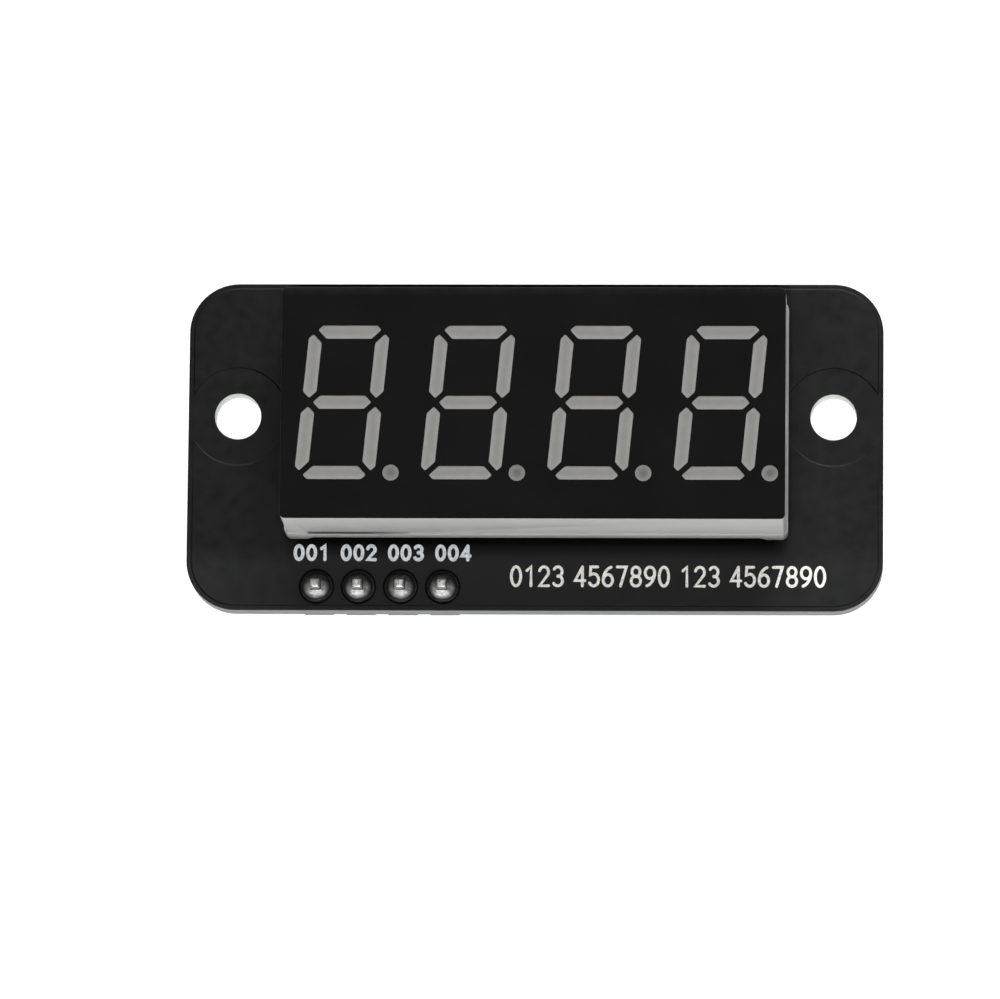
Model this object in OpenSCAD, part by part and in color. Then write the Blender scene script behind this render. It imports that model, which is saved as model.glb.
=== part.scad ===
// Four digit seven segment display module on a small black circuit board.
// It lies flat with the display up. The origin is the centre of the two mounting
// holes, on the rear face of the board. +X runs along the board to the right of
// someone who reads the digits, and +Y points to the top of the digits.

/* [Board] */
// Length of the board
board_len = 42; // [40:0.5:60]
// Width of the board
board_wid = 20; // [19.5:0.5:40]
// Thickness of the board, with both solder masks
board_t = 1.6; // [1:0.1:2.4]
// Radius of the board's corners
corner_r = 3; // [0.5:0.1:4]
// Distance from the line of mounting holes to the board's top edge
top_margin = 8.15; // [7.8:0.05:12]
// Width of the band along the board's edge that has no copper
edge_bare = 0.35; // [0.2:0.05:0.45]
// Thickness of a solder mask, and of the copper pads that it surrounds
mask_t = 0.06; // [0.03:0.01:0.12]
// Gap between a pad and the mask round it
mask_gap = 0.1; // [0.05:0.01:0.15]

/* [Mounting holes] */
// Distance from an end of the board to the centre of its mounting hole
hole_inset = 3; // [2:0.25:4]
// Diameter of a mounting hole
hole_d = 2.8; // [2:0.1:3.4]
// Radius round a mounting hole within which the board has no copper
bare_r = 3.05; // [2:0.05:4]
// Step of the mask where the copper stops
bare_step = 0.03; // [0.01:0.005:0.03]

/* [Display housing] */
// Length of the display
display_len = 30.1; // [29:0.1:32]
// Width of the display
display_wid = 14; // [12.6:0.1:15]
// Height of the display's face above the board
display_h = 7.2; // [6:0.1:9]
// Distance of the display's centre to the right of the board's centre
display_right = 0.15; // [-0.5:0.05:0.5]
// Share of the board's free width that lies above the display
above_share = 0.372; // [0.2:0.001:0.5]
// Corner radius of the housing
housing_r = 0.3; // [0.1:0.05:0.6]
// Wall of the housing round its rear pocket
wall_t = 1; // [0.6:0.1:1.2]
// Thickness of the black face
face_t = 0.1; // [0.05:0.01:0.2]
// Height of the feet that hold the housing off the board
foot_h = 0.6; // [0.3:0.05:1]
// Length of a foot along the housing
foot_len = 1.3; // [0.8:0.1:2.5]
// Length of the shoulder beside a foot, which rises to the housing's base
shoulder_len = 0.4; // [0.1:0.1:1]
// Height of the lip round the housing's base
lip_h = 1.1; // [0.6:0.1:1.6]
// Distance that the lip stands proud of the walls
lip_out = 0.1; // [0.04:0.01:0.2]
// Length of the groove above the lip
groove_len = 6.1; // [2:0.1:10]
// Height of the groove
groove_h = 0.25; // [0.1:0.05:0.4]
// Depth of the groove
groove_in = 0.15; // [0.05:0.05:0.3]

/* [Digits] */
// Height of a digit over the outer edges of its top and bottom bars
digit_h = 9.3; // [8:0.1:9.6]
// Distance between the centre lines of a digit's left and right bars
digit_w = 4; // [3.4:0.1:4.2]
// Width of a bar
bar_w = 0.8; // [0.5:0.05:1]
// Gap between two bars
bar_gap = 0.36; // [0.2:0.02:0.5]
// Distance from the outer edge at which the tip of a corner bar is cut back
tip_cut = 0.26; // [0.15:0.01:0.35]
// Distance from each corner of a bar at which its rounding starts
bar_round = 0.08; // [0.02:0.01:0.1]
// Distance of the digits' middle to the left of the display's centre
digits_left = 0.1; // [0:0.05:0.5]
// Lean of the digits to the right, in degrees
lean = 5.4; // [0:0.1:10]
// Diameter of a decimal point
point_d = 0.98; // [0.7:0.02:1.1]
// Distance from the foot of the right bars to the decimal point
point_reach = 1.35; // [1.1:0.05:1.5]

/* [Inside the display] */
// Thickness of the inner board that carries the light emitting dies
inner_board_t = 0.8; // [0.5:0.1:1.2]
// Thickness of the potting behind the inner board
potting_t = 1.2; // [0.6:0.1:2]
// Distance from the housing's lower edge to the potting
potting_in = 0.15; // [0.05:0.05:0.5]
// Side of a light emitting die
die_w = 0.3; // [0.2:0.02:0.4]
// Height of a light emitting die
die_h = 0.2; // [0.1:0.02:0.3]

/* [Display pins] */
// Distance between two pins or leads of the usual grid
pitch = 2.54; // [2:0.02:2.54]
// Number of display pins in a row
row_pins = 6; // [2:1:6]
// Distance between the two rows of display pins
row_gap = 10.16; // [9.6:0.02:10.6]
// Diameter of a display pin
display_pin_d = 0.5; // [0.4:0.02:0.6]
// Length of display pin left behind the board
display_pin_out = 1.1; // [0.8:0.1:2]

/* [Header] */
// Number of header pins
header_pins = 4; // [4:1:4]
// Side of a square header pin
header_pin_w = 0.64; // [0.5:0.02:0.7]
// Length of header pin in front of the board
header_tip_out = 1.4; // [1.1:0.05:2]
// Length of header pin behind the header body
header_mate = 6; // [3:0.5:12]
// Height of the header body
header_h = 1.5; // [1.2:0.02:3]
// Width of the flat at the end of a header pin
header_flat = 0.44; // [0.3:0.02:0.5]
// Share of the board's free width that lies below the header's solder mask openings
below_share = 0.128; // [0.1:0.001:0.3]
// Distance from the left mounting hole to the first header pin
header_start = 4.88; // [4:0.02:8]
// Cut at the corners of the header body beside each pin
header_notch = 0.4; // [0.1:0.05:0.6]

/* [Plated holes and solder] */
// Clearance round a pin in its plated hole
pin_gap = 0.05; // [0.02:0.01:0.1]
// Clearance round a display pin in its plated hole
display_pin_gap = 0.2; // [0.1:0.02:0.25]
// Thickness of the plating in a hole
plating = 0.05; // [0.03:0.01:0.08]
// Width of the pad round a plated hole
pad_ring = 0.35; // [0.25:0.01:0.4]
// Height of a header solder joint above its pad
header_solder_h = 0.95; // [0.7:0.05:1]
// Height of a display solder joint above its pad
display_solder_h = 0.7; // [0.5:0.05:0.75]

/* [Driver chip] */
// Place of the chip's centre, measured from the display's centre
chip_at = [0, 0];
// Length of the chip
chip_len = 9.9; // [9:0.1:12]
// Width of the chip
chip_wid = 3.9; // [3:0.1:4.1]
// Top of the chip above the board
chip_top = 1.6; // [1.2:0.1:2.2]
// Gap between the chip and the board
chip_lift = 0.1; // [0.05:0.05:0.2]
// Slope of the chip's moulded sides, as the distance that they run in
chip_draft = 0.12; // [0.02:0.02:0.2]
// Diameter of the dimple that marks the first lead
dimple_d = 0.8; // [0.4:0.1:1]
// Depth of the dimple
dimple_h = 0.1; // [0.05:0.05:0.2]
// Number of leads on each side
side_leads = 8; // [4:1:8]
// Distance from an end of the chip to the middle of its first lead
lead_inset = 0.505; // [0.4:0.005:1]
// Width of a lead
lead_w = 0.4; // [0.3:0.02:0.5]
// Thickness of a lead
lead_t = 0.2; // [0.1:0.02:0.25]
// Length of lead inside the chip
lead_in = 0.4; // [0.2:0.05:0.6]
// Distance that the leads reach out of the chip's side
lead_out = 1.05; // [0.95:0.05:1.4]
// Length of a lead's foot
lead_foot = 0.5; // [0.4:0.05:0.5]
// Distance that a soldered pad reaches past its lead or its cap
pad_past = 0.4; // [0.3:0.05:0.6]

/* [Small parts] */
// Length, width and height of the supply capacitor
supply_size = [2, 1.25, 0.9];
// Place of the supply capacitor, measured from the display's centre
supply_at = [11.2, -1.8];
// Length, width and height of the filter capacitor
filter_size = [1.6, 0.8, 0.8];
// Place of the filter capacitor, measured from the display's centre
filter_at = [9, -1.5];
// Length, width and height of a resistor
resistor_size = [1.6, 0.8, 0.45];
// Place of the clock line's resistor, measured from the display's centre
clock_at = [-9.2, -1.5];
// Place of the data line's resistor, measured from the display's centre
data_at = [-11.1, -1.5];
// Length of the metal cap on each end of a small part
cap_len = 0.35; // [0.2:0.05:0.4]

/* [Hidden] */
$fn = 48;
mm_over = 1; // how far a cutting shape runs past what it cuts
digits = 4;
letters = ["a", "b", "c", "d", "e", "f", "g"];
corner_steps = 2; // straight pieces in the rounding of a bar's corner
fillet_steps = 4; // straight pieces in the curve of a solder joint
fillet_rim = 0.12; // height of the solder at the pad's edge, as a share of the joint's height

// Heights above the board's rear face
board_front = board_t;
housing_base = board_front + foot_h;
potting_base = housing_base + potting_in;
inner_board_base = potting_base + potting_t;
well_base = inner_board_base + inner_board_t;
face_base = board_front + display_h - face_t;

// Plated holes and their pads
header_hole_r = header_pin_w / sqrt(2) + pin_gap;
display_hole_r = display_pin_d / 2 + display_pin_gap;
header_pad_r = header_hole_r + pad_ring;
display_pad_r = display_hole_r + pad_ring;

// Places in the board's plane
hole_x = board_len / 2 - hole_inset;
board_y = top_margin - board_wid / 2;
header_opening_r = header_pad_r + mask_gap;
free_wid = board_wid - 2 * header_opening_r - display_wid - 2 * lip_out;
header_y = top_margin - board_wid + below_share * free_wid + header_opening_r;
display_at = [display_right, top_margin - above_share * free_wid - lip_out - display_wid / 2];
header_xs = [for (i = [0:header_pins - 1]) header_start - hole_x + i * pitch];
pin_places = [for (side = [-1, 1], i = [0:row_pins - 1])
    [display_at[0] + (i - (row_pins - 1) / 2) * pitch, display_at[1] + side * row_gap / 2]];
header_places = [for (x = header_xs) [x, header_y]];
digit_pitch = display_len / digits;

// Bars of a digit
bar_y = (digit_h - bar_w) / 2;
bar_x = digit_w / 2;
mitre = bar_gap / sqrt(2);
tip_out = bar_w / 2 - tip_cut;
point_at = [bar_x - bar_y * tan(lean) + point_reach, -bar_y];

// Chip leads, measured from the chip's centre line
lead_mid = (chip_lift + chip_top) / 2;
foot_end = chip_wid / 2 + lead_out;
foot_start = foot_end - lead_foot;
bend_run = foot_start - chip_wid / 2;
dimple_in = dimple_d + chip_draft;
lead_pitch = (chip_len - 2 * lead_inset) / (side_leads - 1);
lead_xs = [for (i = [0:side_leads - 1]) (i - (side_leads - 1) / 2) * lead_pitch];
chip_place = display_at + chip_at;
small_parts = [[supply_at, supply_size], [filter_at, filter_size],
    [clock_at, resistor_size], [data_at, resistor_size]];

function segment_name(digit, letter) = str("digit_", digit, "_segment_", letter);
function point_name(digit) = str("digit_", digit, "_point");

// Points of an outline with each corner rounded, from bar_round before it to bar_round after it
function toward(from, to, distance) = from + (to - from) * distance / norm(to - from);
function rounded(points) = [
    for (i = [0:len(points) - 1])
        let (corner = points[i],
             start = toward(corner, points[(i + len(points) - 1) % len(points)], bar_round),
             end = toward(corner, points[(i + 1) % len(points)], bar_round))
        for (k = [0:corner_steps])
            let (s = k / corner_steps)
            start * pow(1 - s, 2) + corner * 2 * s * (1 - s) + end * pow(s, 2)
];
function leaned(points) = [for (p = points) [p[0] + p[1] * tan(lean), p[1]]];
function mirrored(points, side_x, side_y) = [for (p = points) [p[0] * side_x, p[1] * side_y]];

// The three shapes of bar, upright, round a digit's centre: the top one, the right one
// above the middle, and the middle one. Their ends are mitred to leave bar_gap between them.
half_w = bar_w / 2;
tip = bar_x + tip_out - mitre;
top_bar = [
    [bar_x - half_w - mitre, bar_y - half_w], [tip, bar_y + tip_out],
    [tip - tip_cut, bar_y + half_w], [tip_cut - tip, bar_y + half_w],
    [-tip, bar_y + tip_out], [half_w + mitre - bar_x, bar_y - half_w],
];
side_tip = bar_y + tip_out - mitre;
side_bar = [
    [bar_x, mitre], [bar_x + half_w, mitre + half_w],
    [bar_x + half_w, side_tip - tip_cut], [bar_x + tip_out, side_tip],
    [bar_x - half_w, bar_y - half_w - mitre], [bar_x - half_w, mitre + half_w],
];
middle_bar = [
    [bar_x - mitre, 0], [bar_x - mitre - half_w, half_w], [half_w + mitre - bar_x, half_w],
    [mitre - bar_x, 0], [half_w + mitre - bar_x, -half_w], [bar_x - mitre - half_w, -half_w],
];
function upright_bar(letter) =
    letter == "a" ? top_bar :
    letter == "d" ? mirrored(top_bar, 1, -1) :
    letter == "g" ? middle_bar :
    mirrored(side_bar, letter == "b" || letter == "c" ? 1 : -1, letter == "b" || letter == "f" ? 1 : -1);
function bar_outline(letter) = leaned(rounded(upright_bar(letter)));
function bar_middle(letter) =
    letter == "a" || letter == "d" || letter == "g" ?
        leaned([[0, letter == "a" ? bar_y : letter == "d" ? -bar_y : 0]])[0] :
        leaned(mirrored([[bar_x, bar_y / 2]], letter == "b" || letter == "c" ? 1 : -1,
            letter == "b" || letter == "f" ? 1 : -1))[0];

module rounded_plate(length, width, radius, height) {
    linear_extrude(height) {
        square([length - 2 * radius, width], center = true);
        square([length, width - 2 * radius], center = true);
        for (x = [-1, 1], y = [-1, 1])
            translate([x * (length / 2 - radius), y * (width / 2 - radius)]) circle(radius);
    }
}

module at_digit(digit) {
    place = (digit - (digits + 1) / 2) * digit_pitch - digits_left;
    translate([display_at[0] + place, display_at[1]]) children();
}

// Every window of the display, as a flat pattern
module window_pattern() {
    for (digit = [1:digits]) at_digit(digit) {
        for (letter = letters) polygon(bar_outline(letter));
        translate(point_at) circle(d = point_d);
    }
}

module at_display() { translate([display_at[0], display_at[1]]) children(); }

module on_rear() { mirror([0, 0, 1]) children(); }

module board_slab(bottom, height) {
    translate([0, board_y, bottom]) rounded_plate(board_len, board_wid, corner_r, height);
}

module bores(places, radius, bottom, top) {
    for (place = places)
        translate([place[0], place[1], bottom - mm_over])
            cylinder(r = radius, h = top - bottom + 2 * mm_over);
}

module mounting_bores() {
    bores([[-hole_x, 0], [hole_x, 0]], hole_d / 2, 0, board_t);
}

module circuit_board() {
    color([0.6, 0.6, 0.56]) difference() {
        board_slab(mask_t, board_t - 2 * mask_t);
        mounting_bores();
        bores(header_places, header_hole_r + plating, 0, board_t);
        bores(pin_places, display_hole_r + plating, 0, board_t);
    }
}

// A mask with its openings round the plated pads, from bottom to bottom + mask_t
module mask_sheet(bottom) {
    difference() {
        board_slab(bottom, mask_t);
        mounting_bores();
        bores(header_places, header_opening_r, 0, board_t);
        bores(pin_places, display_pad_r + mask_gap, 0, board_t);
    }
}

// The layer by which the mask lies lower where there is no copper under it: round the
// mounting holes and along the board's edge
module bare_layer(bottom) {
    for (side = [-1, 1]) translate([side * hole_x, 0, bottom]) cylinder(r = bare_r, h = bare_step);
    difference() {
        board_slab(bottom, bare_step);
        translate([0, board_y, bottom]) rounded_plate(board_len - 2 * edge_bare, board_wid - 2 * edge_bare,
            corner_r - edge_bare, bare_step);
    }
}

module front_solder_mask() {
    color([0.12, 0.12, 0.13]) difference() {
        mask_sheet(board_t - mask_t);
        bare_layer(board_t - bare_step);
    }
}

module rear_solder_mask() {
    color([0.12, 0.12, 0.13]) difference() {
        mask_sheet(0);
        bare_layer(0);
        for (pad = small_pads) small_pad(pad, mask_gap, mm_over);
    }
}

// A pad on each face of the board, joined by the plating of the hole
module plated_hole(place, hole_r, pad_r) {
    drill_r = hole_r + plating;
    translate([place[0], place[1], 0]) rotate_extrude() polygon([
        [hole_r, 0], [pad_r, 0], [pad_r, mask_t], [drill_r, mask_t],
        [drill_r, board_t - mask_t], [pad_r, board_t - mask_t], [pad_r, board_t], [hole_r, board_t],
    ]);
}

module header_pads() {
    color("silver") for (place = header_places) plated_hole(place, header_hole_r, header_pad_r);
}

module display_pads() {
    color("silver") for (place = pin_places) plated_hole(place, display_hole_r, display_pad_r);
}

// Flat pads on the rear, each with its centre, length and width
cap_pad_len = cap_len + pad_past;
lead_pad_len = lead_foot + pad_past;
small_pads = [
    for (x = lead_xs, side = [-1, 1])
        [chip_place + [x, side * (foot_start + lead_pad_len / 2)], [lead_w, lead_pad_len]],
    for (part = small_parts, side = [-1, 1])
        [display_at + part[0] + [0, side * (part[1][0] / 2 - cap_len + cap_pad_len / 2)],
            [part[1][1], cap_pad_len]],
];

module small_pad(pad, grow, below) {
    size = pad[1] + [2 * grow, 2 * grow];
    translate([pad[0][0] - size[0] / 2, pad[0][1] - size[1] / 2, -below])
        cube([size[0], size[1], mask_t + 2 * below]);
}

module small_part_pads() {
    color("silver") for (pad = small_pads) small_pad(pad, 0, 0);
}

// White shell: walls round the rear pocket, a solid front with a well for each window,
// a lip round the base and a foot at each corner
module display_housing() {
    color([0.88, 0.89, 0.87]) difference() {
        union() {
            at_display() {
                translate([0, 0, housing_base])
                    rounded_plate(display_len, display_wid, housing_r, face_base - housing_base);
                translate([0, 0, housing_base])
                    rounded_plate(display_len + 2 * lip_out, display_wid + 2 * lip_out,
                        housing_r + lip_out, lip_h);
            }
            housing_feet();
        }
        at_display() translate([0, 0, housing_base - mm_over])
            rounded_plate(pocket_len, pocket_wid, housing_r, well_base - housing_base + mm_over);
        translate([0, 0, well_base - mm_over / 2])
            linear_extrude(face_base - well_base + mm_over) window_pattern();
        side_groove();
    }
}

pocket_len = display_len - 2 * wall_t;
pocket_wid = display_wid - 2 * wall_t;

module housing_feet() {
    outer_x = display_len / 2 + lip_out;
    outer_y = display_wid / 2 + lip_out;
    foot_wide = wall_t + lip_out;
    at_display() translate([0, 0, board_front]) intersection() {
        rounded_plate(2 * outer_x, 2 * outer_y, housing_r + lip_out, foot_h);
        for (x = [0, 1], y = [0, 1]) mirror([x, 0, 0]) mirror([0, y, 0])
            translate([outer_x, outer_y, 0]) rotate([90, 0, 0]) linear_extrude(foot_wide)
                polygon([[0, 0], [-foot_len, 0], [-foot_len - shoulder_len, foot_h], [0, foot_h]]);
    }
}

module side_groove() {
    at_display() translate([foot_len - display_len / 2, -display_wid / 2 - mm_over, housing_base + lip_h])
        cube([groove_len, groove_in + mm_over, groove_h]);
}

module display_face() {
    color([0.08, 0.08, 0.09]) difference() {
        at_display() translate([0, 0, face_base]) rounded_plate(display_len, display_wid, housing_r, face_t);
        translate([0, 0, face_base - mm_over / 2]) linear_extrude(face_t + mm_over) window_pattern();
    }
}

module inner_board() {
    color([0.3, 0.45, 0.3]) difference() {
        at_display() translate([0, 0, inner_board_base])
            rounded_plate(pocket_len, pocket_wid, housing_r, inner_board_t);
        bores(pin_places, display_pin_d / 2, inner_board_base, well_base);
    }
}

module die(middle, grow) {
    translate([middle[0] - die_w / 2, middle[1] - die_w / 2, well_base - grow])
        cube([die_w, die_w, die_h + grow]);
}

module light_dies() {
    color([0.85, 0.75, 0.35]) for (digit = [1:digits]) at_digit(digit) {
        for (letter = letters) die(bar_middle(letter), 0);
        die(point_at, 0);
    }
}

module potting() {
    color([0.8, 0.79, 0.7]) difference() {
        at_display() translate([0, 0, potting_base])
            rounded_plate(pocket_len, pocket_wid, housing_r, potting_t);
        bores(pin_places, display_pin_d / 2, potting_base, inner_board_base);
    }
}

module segment_window(digit, letter) {
    color([0.62, 0.6, 0.62]) at_digit(digit) difference() {
        translate([0, 0, well_base]) linear_extrude(face_base - well_base) polygon(bar_outline(letter));
        die(bar_middle(letter), mm_over);
    }
}

module point_window(digit) {
    color([0.55, 0.53, 0.55]) at_digit(digit) difference() {
        translate([point_at[0], point_at[1], well_base]) cylinder(d = point_d, h = face_base - well_base);
        die(point_at, mm_over);
    }
}

module display_pins() {
    color("silver") for (place = pin_places)
        translate([place[0], place[1], -display_pin_out])
            cylinder(d = display_pin_d, h = well_base + display_pin_out);
}

// Solder that climbs from a pad's edge to a pin, in a hollow curve
module solder_fillet(pad_r, top_r, height) {
    rotate_extrude() polygon([
        [0, 0], [pad_r, 0],
        for (k = [0:fillet_steps])
            let (turn = 90 * k / fillet_steps, climb = 1 - cos(turn))
            [pad_r - (pad_r - top_r) * sin(turn), height * (fillet_rim + (1 - fillet_rim) * climb)],
        [0, height],
    ]);
}

module display_solder() {
    color("silver") for (place = pin_places) translate([place[0], place[1], 0]) difference() {
        union() {
            cylinder(r = display_hole_r, h = board_t);
            on_rear() solder_fillet(display_pad_r, display_pin_d / 2 + plating, display_solder_h);
        }
        translate([0, 0, -display_pin_out])
            cylinder(d = display_pin_d, h = board_t + display_pin_out + mm_over);
    }
}

// An octagon round each pin, joined by a bar as wide as their flats
module header_body() {
    reach = pitch / 2;
    flat = reach - header_notch;
    cell = [[-reach, -flat], [-flat, -reach], [flat, -reach], [reach, -flat],
        [reach, flat], [flat, reach], [-flat, reach], [-reach, flat]];
    color([0.1, 0.1, 0.1]) on_rear() linear_extrude(header_h) difference() {
        union() {
            for (place = header_places) translate(place) polygon(cell);
            translate([header_xs[0], header_y - flat]) square([(header_pins - 1) * pitch, 2 * flat]);
        }
        for (place = header_places) translate(place) square(header_pin_w, center = true);
    }
}

// A square pin with both ends pointed a little, so that it finds its socket
module header_pin(place) {
    bottom = -header_h - header_mate;
    top = board_t + header_tip_out;
    half = header_pin_w / 2;
    point = (header_pin_w - header_flat) / 2;
    side = [[-half + point, bottom], [half - point, bottom], [half, bottom + 2 * point], [half, top - point],
        [half - point, top], [-half + point, top], [-half, top - point], [-half, bottom + 2 * point]];
    color("silver") translate([place[0], place[1], 0]) intersection() {
        translate([0, half, 0]) rotate([90, 0, 0]) linear_extrude(header_pin_w) polygon(side);
        translate([-half, 0, 0]) rotate([90, 0, 90]) linear_extrude(header_pin_w) polygon(side);
    }
}

module header_solder() {
    color("silver") for (place = header_places) translate([place[0], place[1], 0]) difference() {
        union() {
            cylinder(r = header_hole_r, h = board_t);
            translate([0, 0, board_t]) solder_fillet(header_pad_r, header_hole_r, header_solder_h);
        }
        translate([-header_pin_w / 2, -header_pin_w / 2, -mm_over])
            cube([header_pin_w, header_pin_w, board_t + header_tip_out + 2 * mm_over]);
    }
}

// A block whose four sides slope in above and below its middle
module moulded_block(length, width, bottom, top, draft) {
    middle = (bottom + top) / 2;
    function profile(reach) = [[-reach / 2 + draft, bottom], [reach / 2 - draft, bottom], [reach / 2, middle],
        [reach / 2 - draft, top], [-reach / 2 + draft, top], [-reach / 2, middle]];
    intersection() {
        translate([0, width / 2, 0]) rotate([90, 0, 0]) linear_extrude(width) polygon(profile(length));
        translate([-length / 2, 0, 0]) rotate([90, 0, 90]) linear_extrude(length) polygon(profile(width));
    }
}

// Gull wing leads on both sides of the chip, standing on their pads
module lead_set() {
    inner = chip_wid / 2 - lead_in;
    knee = chip_wid / 2 + bend_run / 2;
    outline = [
        [inner, lead_mid - lead_t / 2], [knee - lead_t / 2, lead_mid - lead_t / 2], [foot_start, 0],
        [foot_end, 0], [foot_end, lead_t], [foot_start + lead_t / 2, lead_t],
        [knee, lead_mid + lead_t / 2], [inner, lead_mid + lead_t / 2],
    ];
    for (x = lead_xs, side = [0, 1]) mirror([0, side, 0])
        translate([x - lead_w / 2, 0, 0]) rotate([90, 0, 90]) linear_extrude(lead_w) polygon(outline);
}

module at_chip() { on_rear() translate([chip_place[0], chip_place[1]]) children(); }

module driver_chip() {
    color([0.13, 0.13, 0.14]) at_chip() difference() {
        moulded_block(chip_len, chip_wid, chip_lift, chip_top, chip_draft);
        lead_set();
        translate([dimple_in - chip_len / 2, dimple_in - chip_wid / 2, chip_top - dimple_h])
            cylinder(d = dimple_d, h = dimple_h + mm_over);
    }
}

module chip_leads() {
    color("silver") at_chip() lead_set();
}

// A wedge of solder against the end of a lead or a cap, on the pad past it
module solder_wedge(width, run, rise) {
    translate([-width / 2, 0, 0]) rotate([90, 0, 90]) linear_extrude(width)
        polygon([[0, 0], [run, 0], [0, rise]]);
}

module small_solder() {
    color("silver") {
        at_chip() for (x = lead_xs, side = [0, 1]) mirror([0, side, 0])
            translate([x, foot_end, 0]) solder_wedge(lead_w, pad_past, lead_t);
        on_rear() at_display() for (part = small_parts, side = [0, 1]) translate(part[0]) mirror([0, side, 0])
            translate([0, part[1][0] / 2, 0]) solder_wedge(part[1][1], pad_past, part[1][2] / 2);
    }
}

// The body of a small part between its two caps
module small_body(place, size) {
    on_rear() at_display() translate([place[0] - size[1] / 2, place[1] - size[0] / 2 + cap_len, 0])
        cube([size[1], size[0] - 2 * cap_len, size[2]]);
}

module supply_capacitor() { color([0.62, 0.5, 0.36]) small_body(supply_at, supply_size); }
module filter_capacitor() { color([0.62, 0.5, 0.36]) small_body(filter_at, filter_size); }
module clock_resistor() { color([0.12, 0.12, 0.12]) small_body(clock_at, resistor_size); }
module data_resistor() { color([0.12, 0.12, 0.12]) small_body(data_at, resistor_size); }

module end_caps() {
    color("silver") on_rear() at_display() for (part = small_parts, side = [0, 1])
        translate(part[0]) mirror([0, side, 0]) translate([-part[1][1] / 2, part[1][0] / 2 - cap_len, 0])
            cube([part[1][1], cap_len, part[1][2]]);
}

circuit_board();
front_solder_mask();
rear_solder_mask();
header_pads();
display_pads();
small_part_pads();
display_housing();
display_face();
inner_board();
light_dies();
potting();
display_pins();
display_solder();
for (digit = [1:digits], letter = letters)
    segment_window(digit, letter);
for (digit = [1:digits])
    point_window(digit);
header_body();
for (i = [1:header_pins])
    header_pin(header_places[i - 1]);
header_solder();
driver_chip();
chip_leads();
small_solder();
supply_capacitor();
filter_capacitor();
clock_resistor();
data_resistor();
end_caps();
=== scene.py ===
import math
import random

import bmesh
import bpy
from bpy.props import FloatProperty, FloatVectorProperty, IntProperty, PointerProperty, StringProperty
from mathutils import Matrix, Vector, noise


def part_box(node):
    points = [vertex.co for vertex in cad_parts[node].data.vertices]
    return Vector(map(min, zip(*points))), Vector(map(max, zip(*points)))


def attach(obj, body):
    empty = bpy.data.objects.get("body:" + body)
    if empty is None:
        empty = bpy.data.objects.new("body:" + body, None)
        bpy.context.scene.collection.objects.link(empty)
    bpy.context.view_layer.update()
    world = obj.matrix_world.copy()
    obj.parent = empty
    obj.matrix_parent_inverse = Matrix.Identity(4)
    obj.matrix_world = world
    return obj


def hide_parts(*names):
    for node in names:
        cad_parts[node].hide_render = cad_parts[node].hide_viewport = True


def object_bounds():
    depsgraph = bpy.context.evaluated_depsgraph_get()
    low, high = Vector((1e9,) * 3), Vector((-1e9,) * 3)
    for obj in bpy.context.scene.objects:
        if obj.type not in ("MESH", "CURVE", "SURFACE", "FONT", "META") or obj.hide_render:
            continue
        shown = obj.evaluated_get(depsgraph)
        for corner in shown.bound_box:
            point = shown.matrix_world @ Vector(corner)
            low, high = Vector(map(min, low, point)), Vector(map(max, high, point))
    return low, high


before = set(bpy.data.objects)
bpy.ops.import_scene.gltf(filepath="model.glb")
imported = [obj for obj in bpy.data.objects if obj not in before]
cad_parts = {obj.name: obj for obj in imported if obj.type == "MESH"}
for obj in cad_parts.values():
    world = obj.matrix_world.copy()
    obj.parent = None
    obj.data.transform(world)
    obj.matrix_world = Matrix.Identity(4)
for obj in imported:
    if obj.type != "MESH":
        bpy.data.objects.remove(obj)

bl_info = {
    "name": "Four digit display module",
    "version": (1, 0, 0),
    "blender": (4, 5, 0),
    "location": "3D View > Sidebar > Display",
    "description": "Dresses the solids of a small seven segment display module with detail and finishes",
    "category": "Object",
}

BODY = "root"
MM = 0.001
FLAT = 2e-6  # how far from a plane a point may lie and still count as on it
cad_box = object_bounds()

LETTERS = "abcdefg"
DIGITS = (1, 2, 3, 4)


# Sizes and colours that a user would change

def size(name, description, millimetres, **more):
    return FloatProperty(name=name, description=description, default=millimetres * MM, min=0.0,
                         unit="LENGTH", precision=5, **more)


def colour(name, description, value):
    return FloatVectorProperty(name=name, description=description, default=value, min=0.0, max=1.0,
                               subtype="COLOR", size=3)


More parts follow.
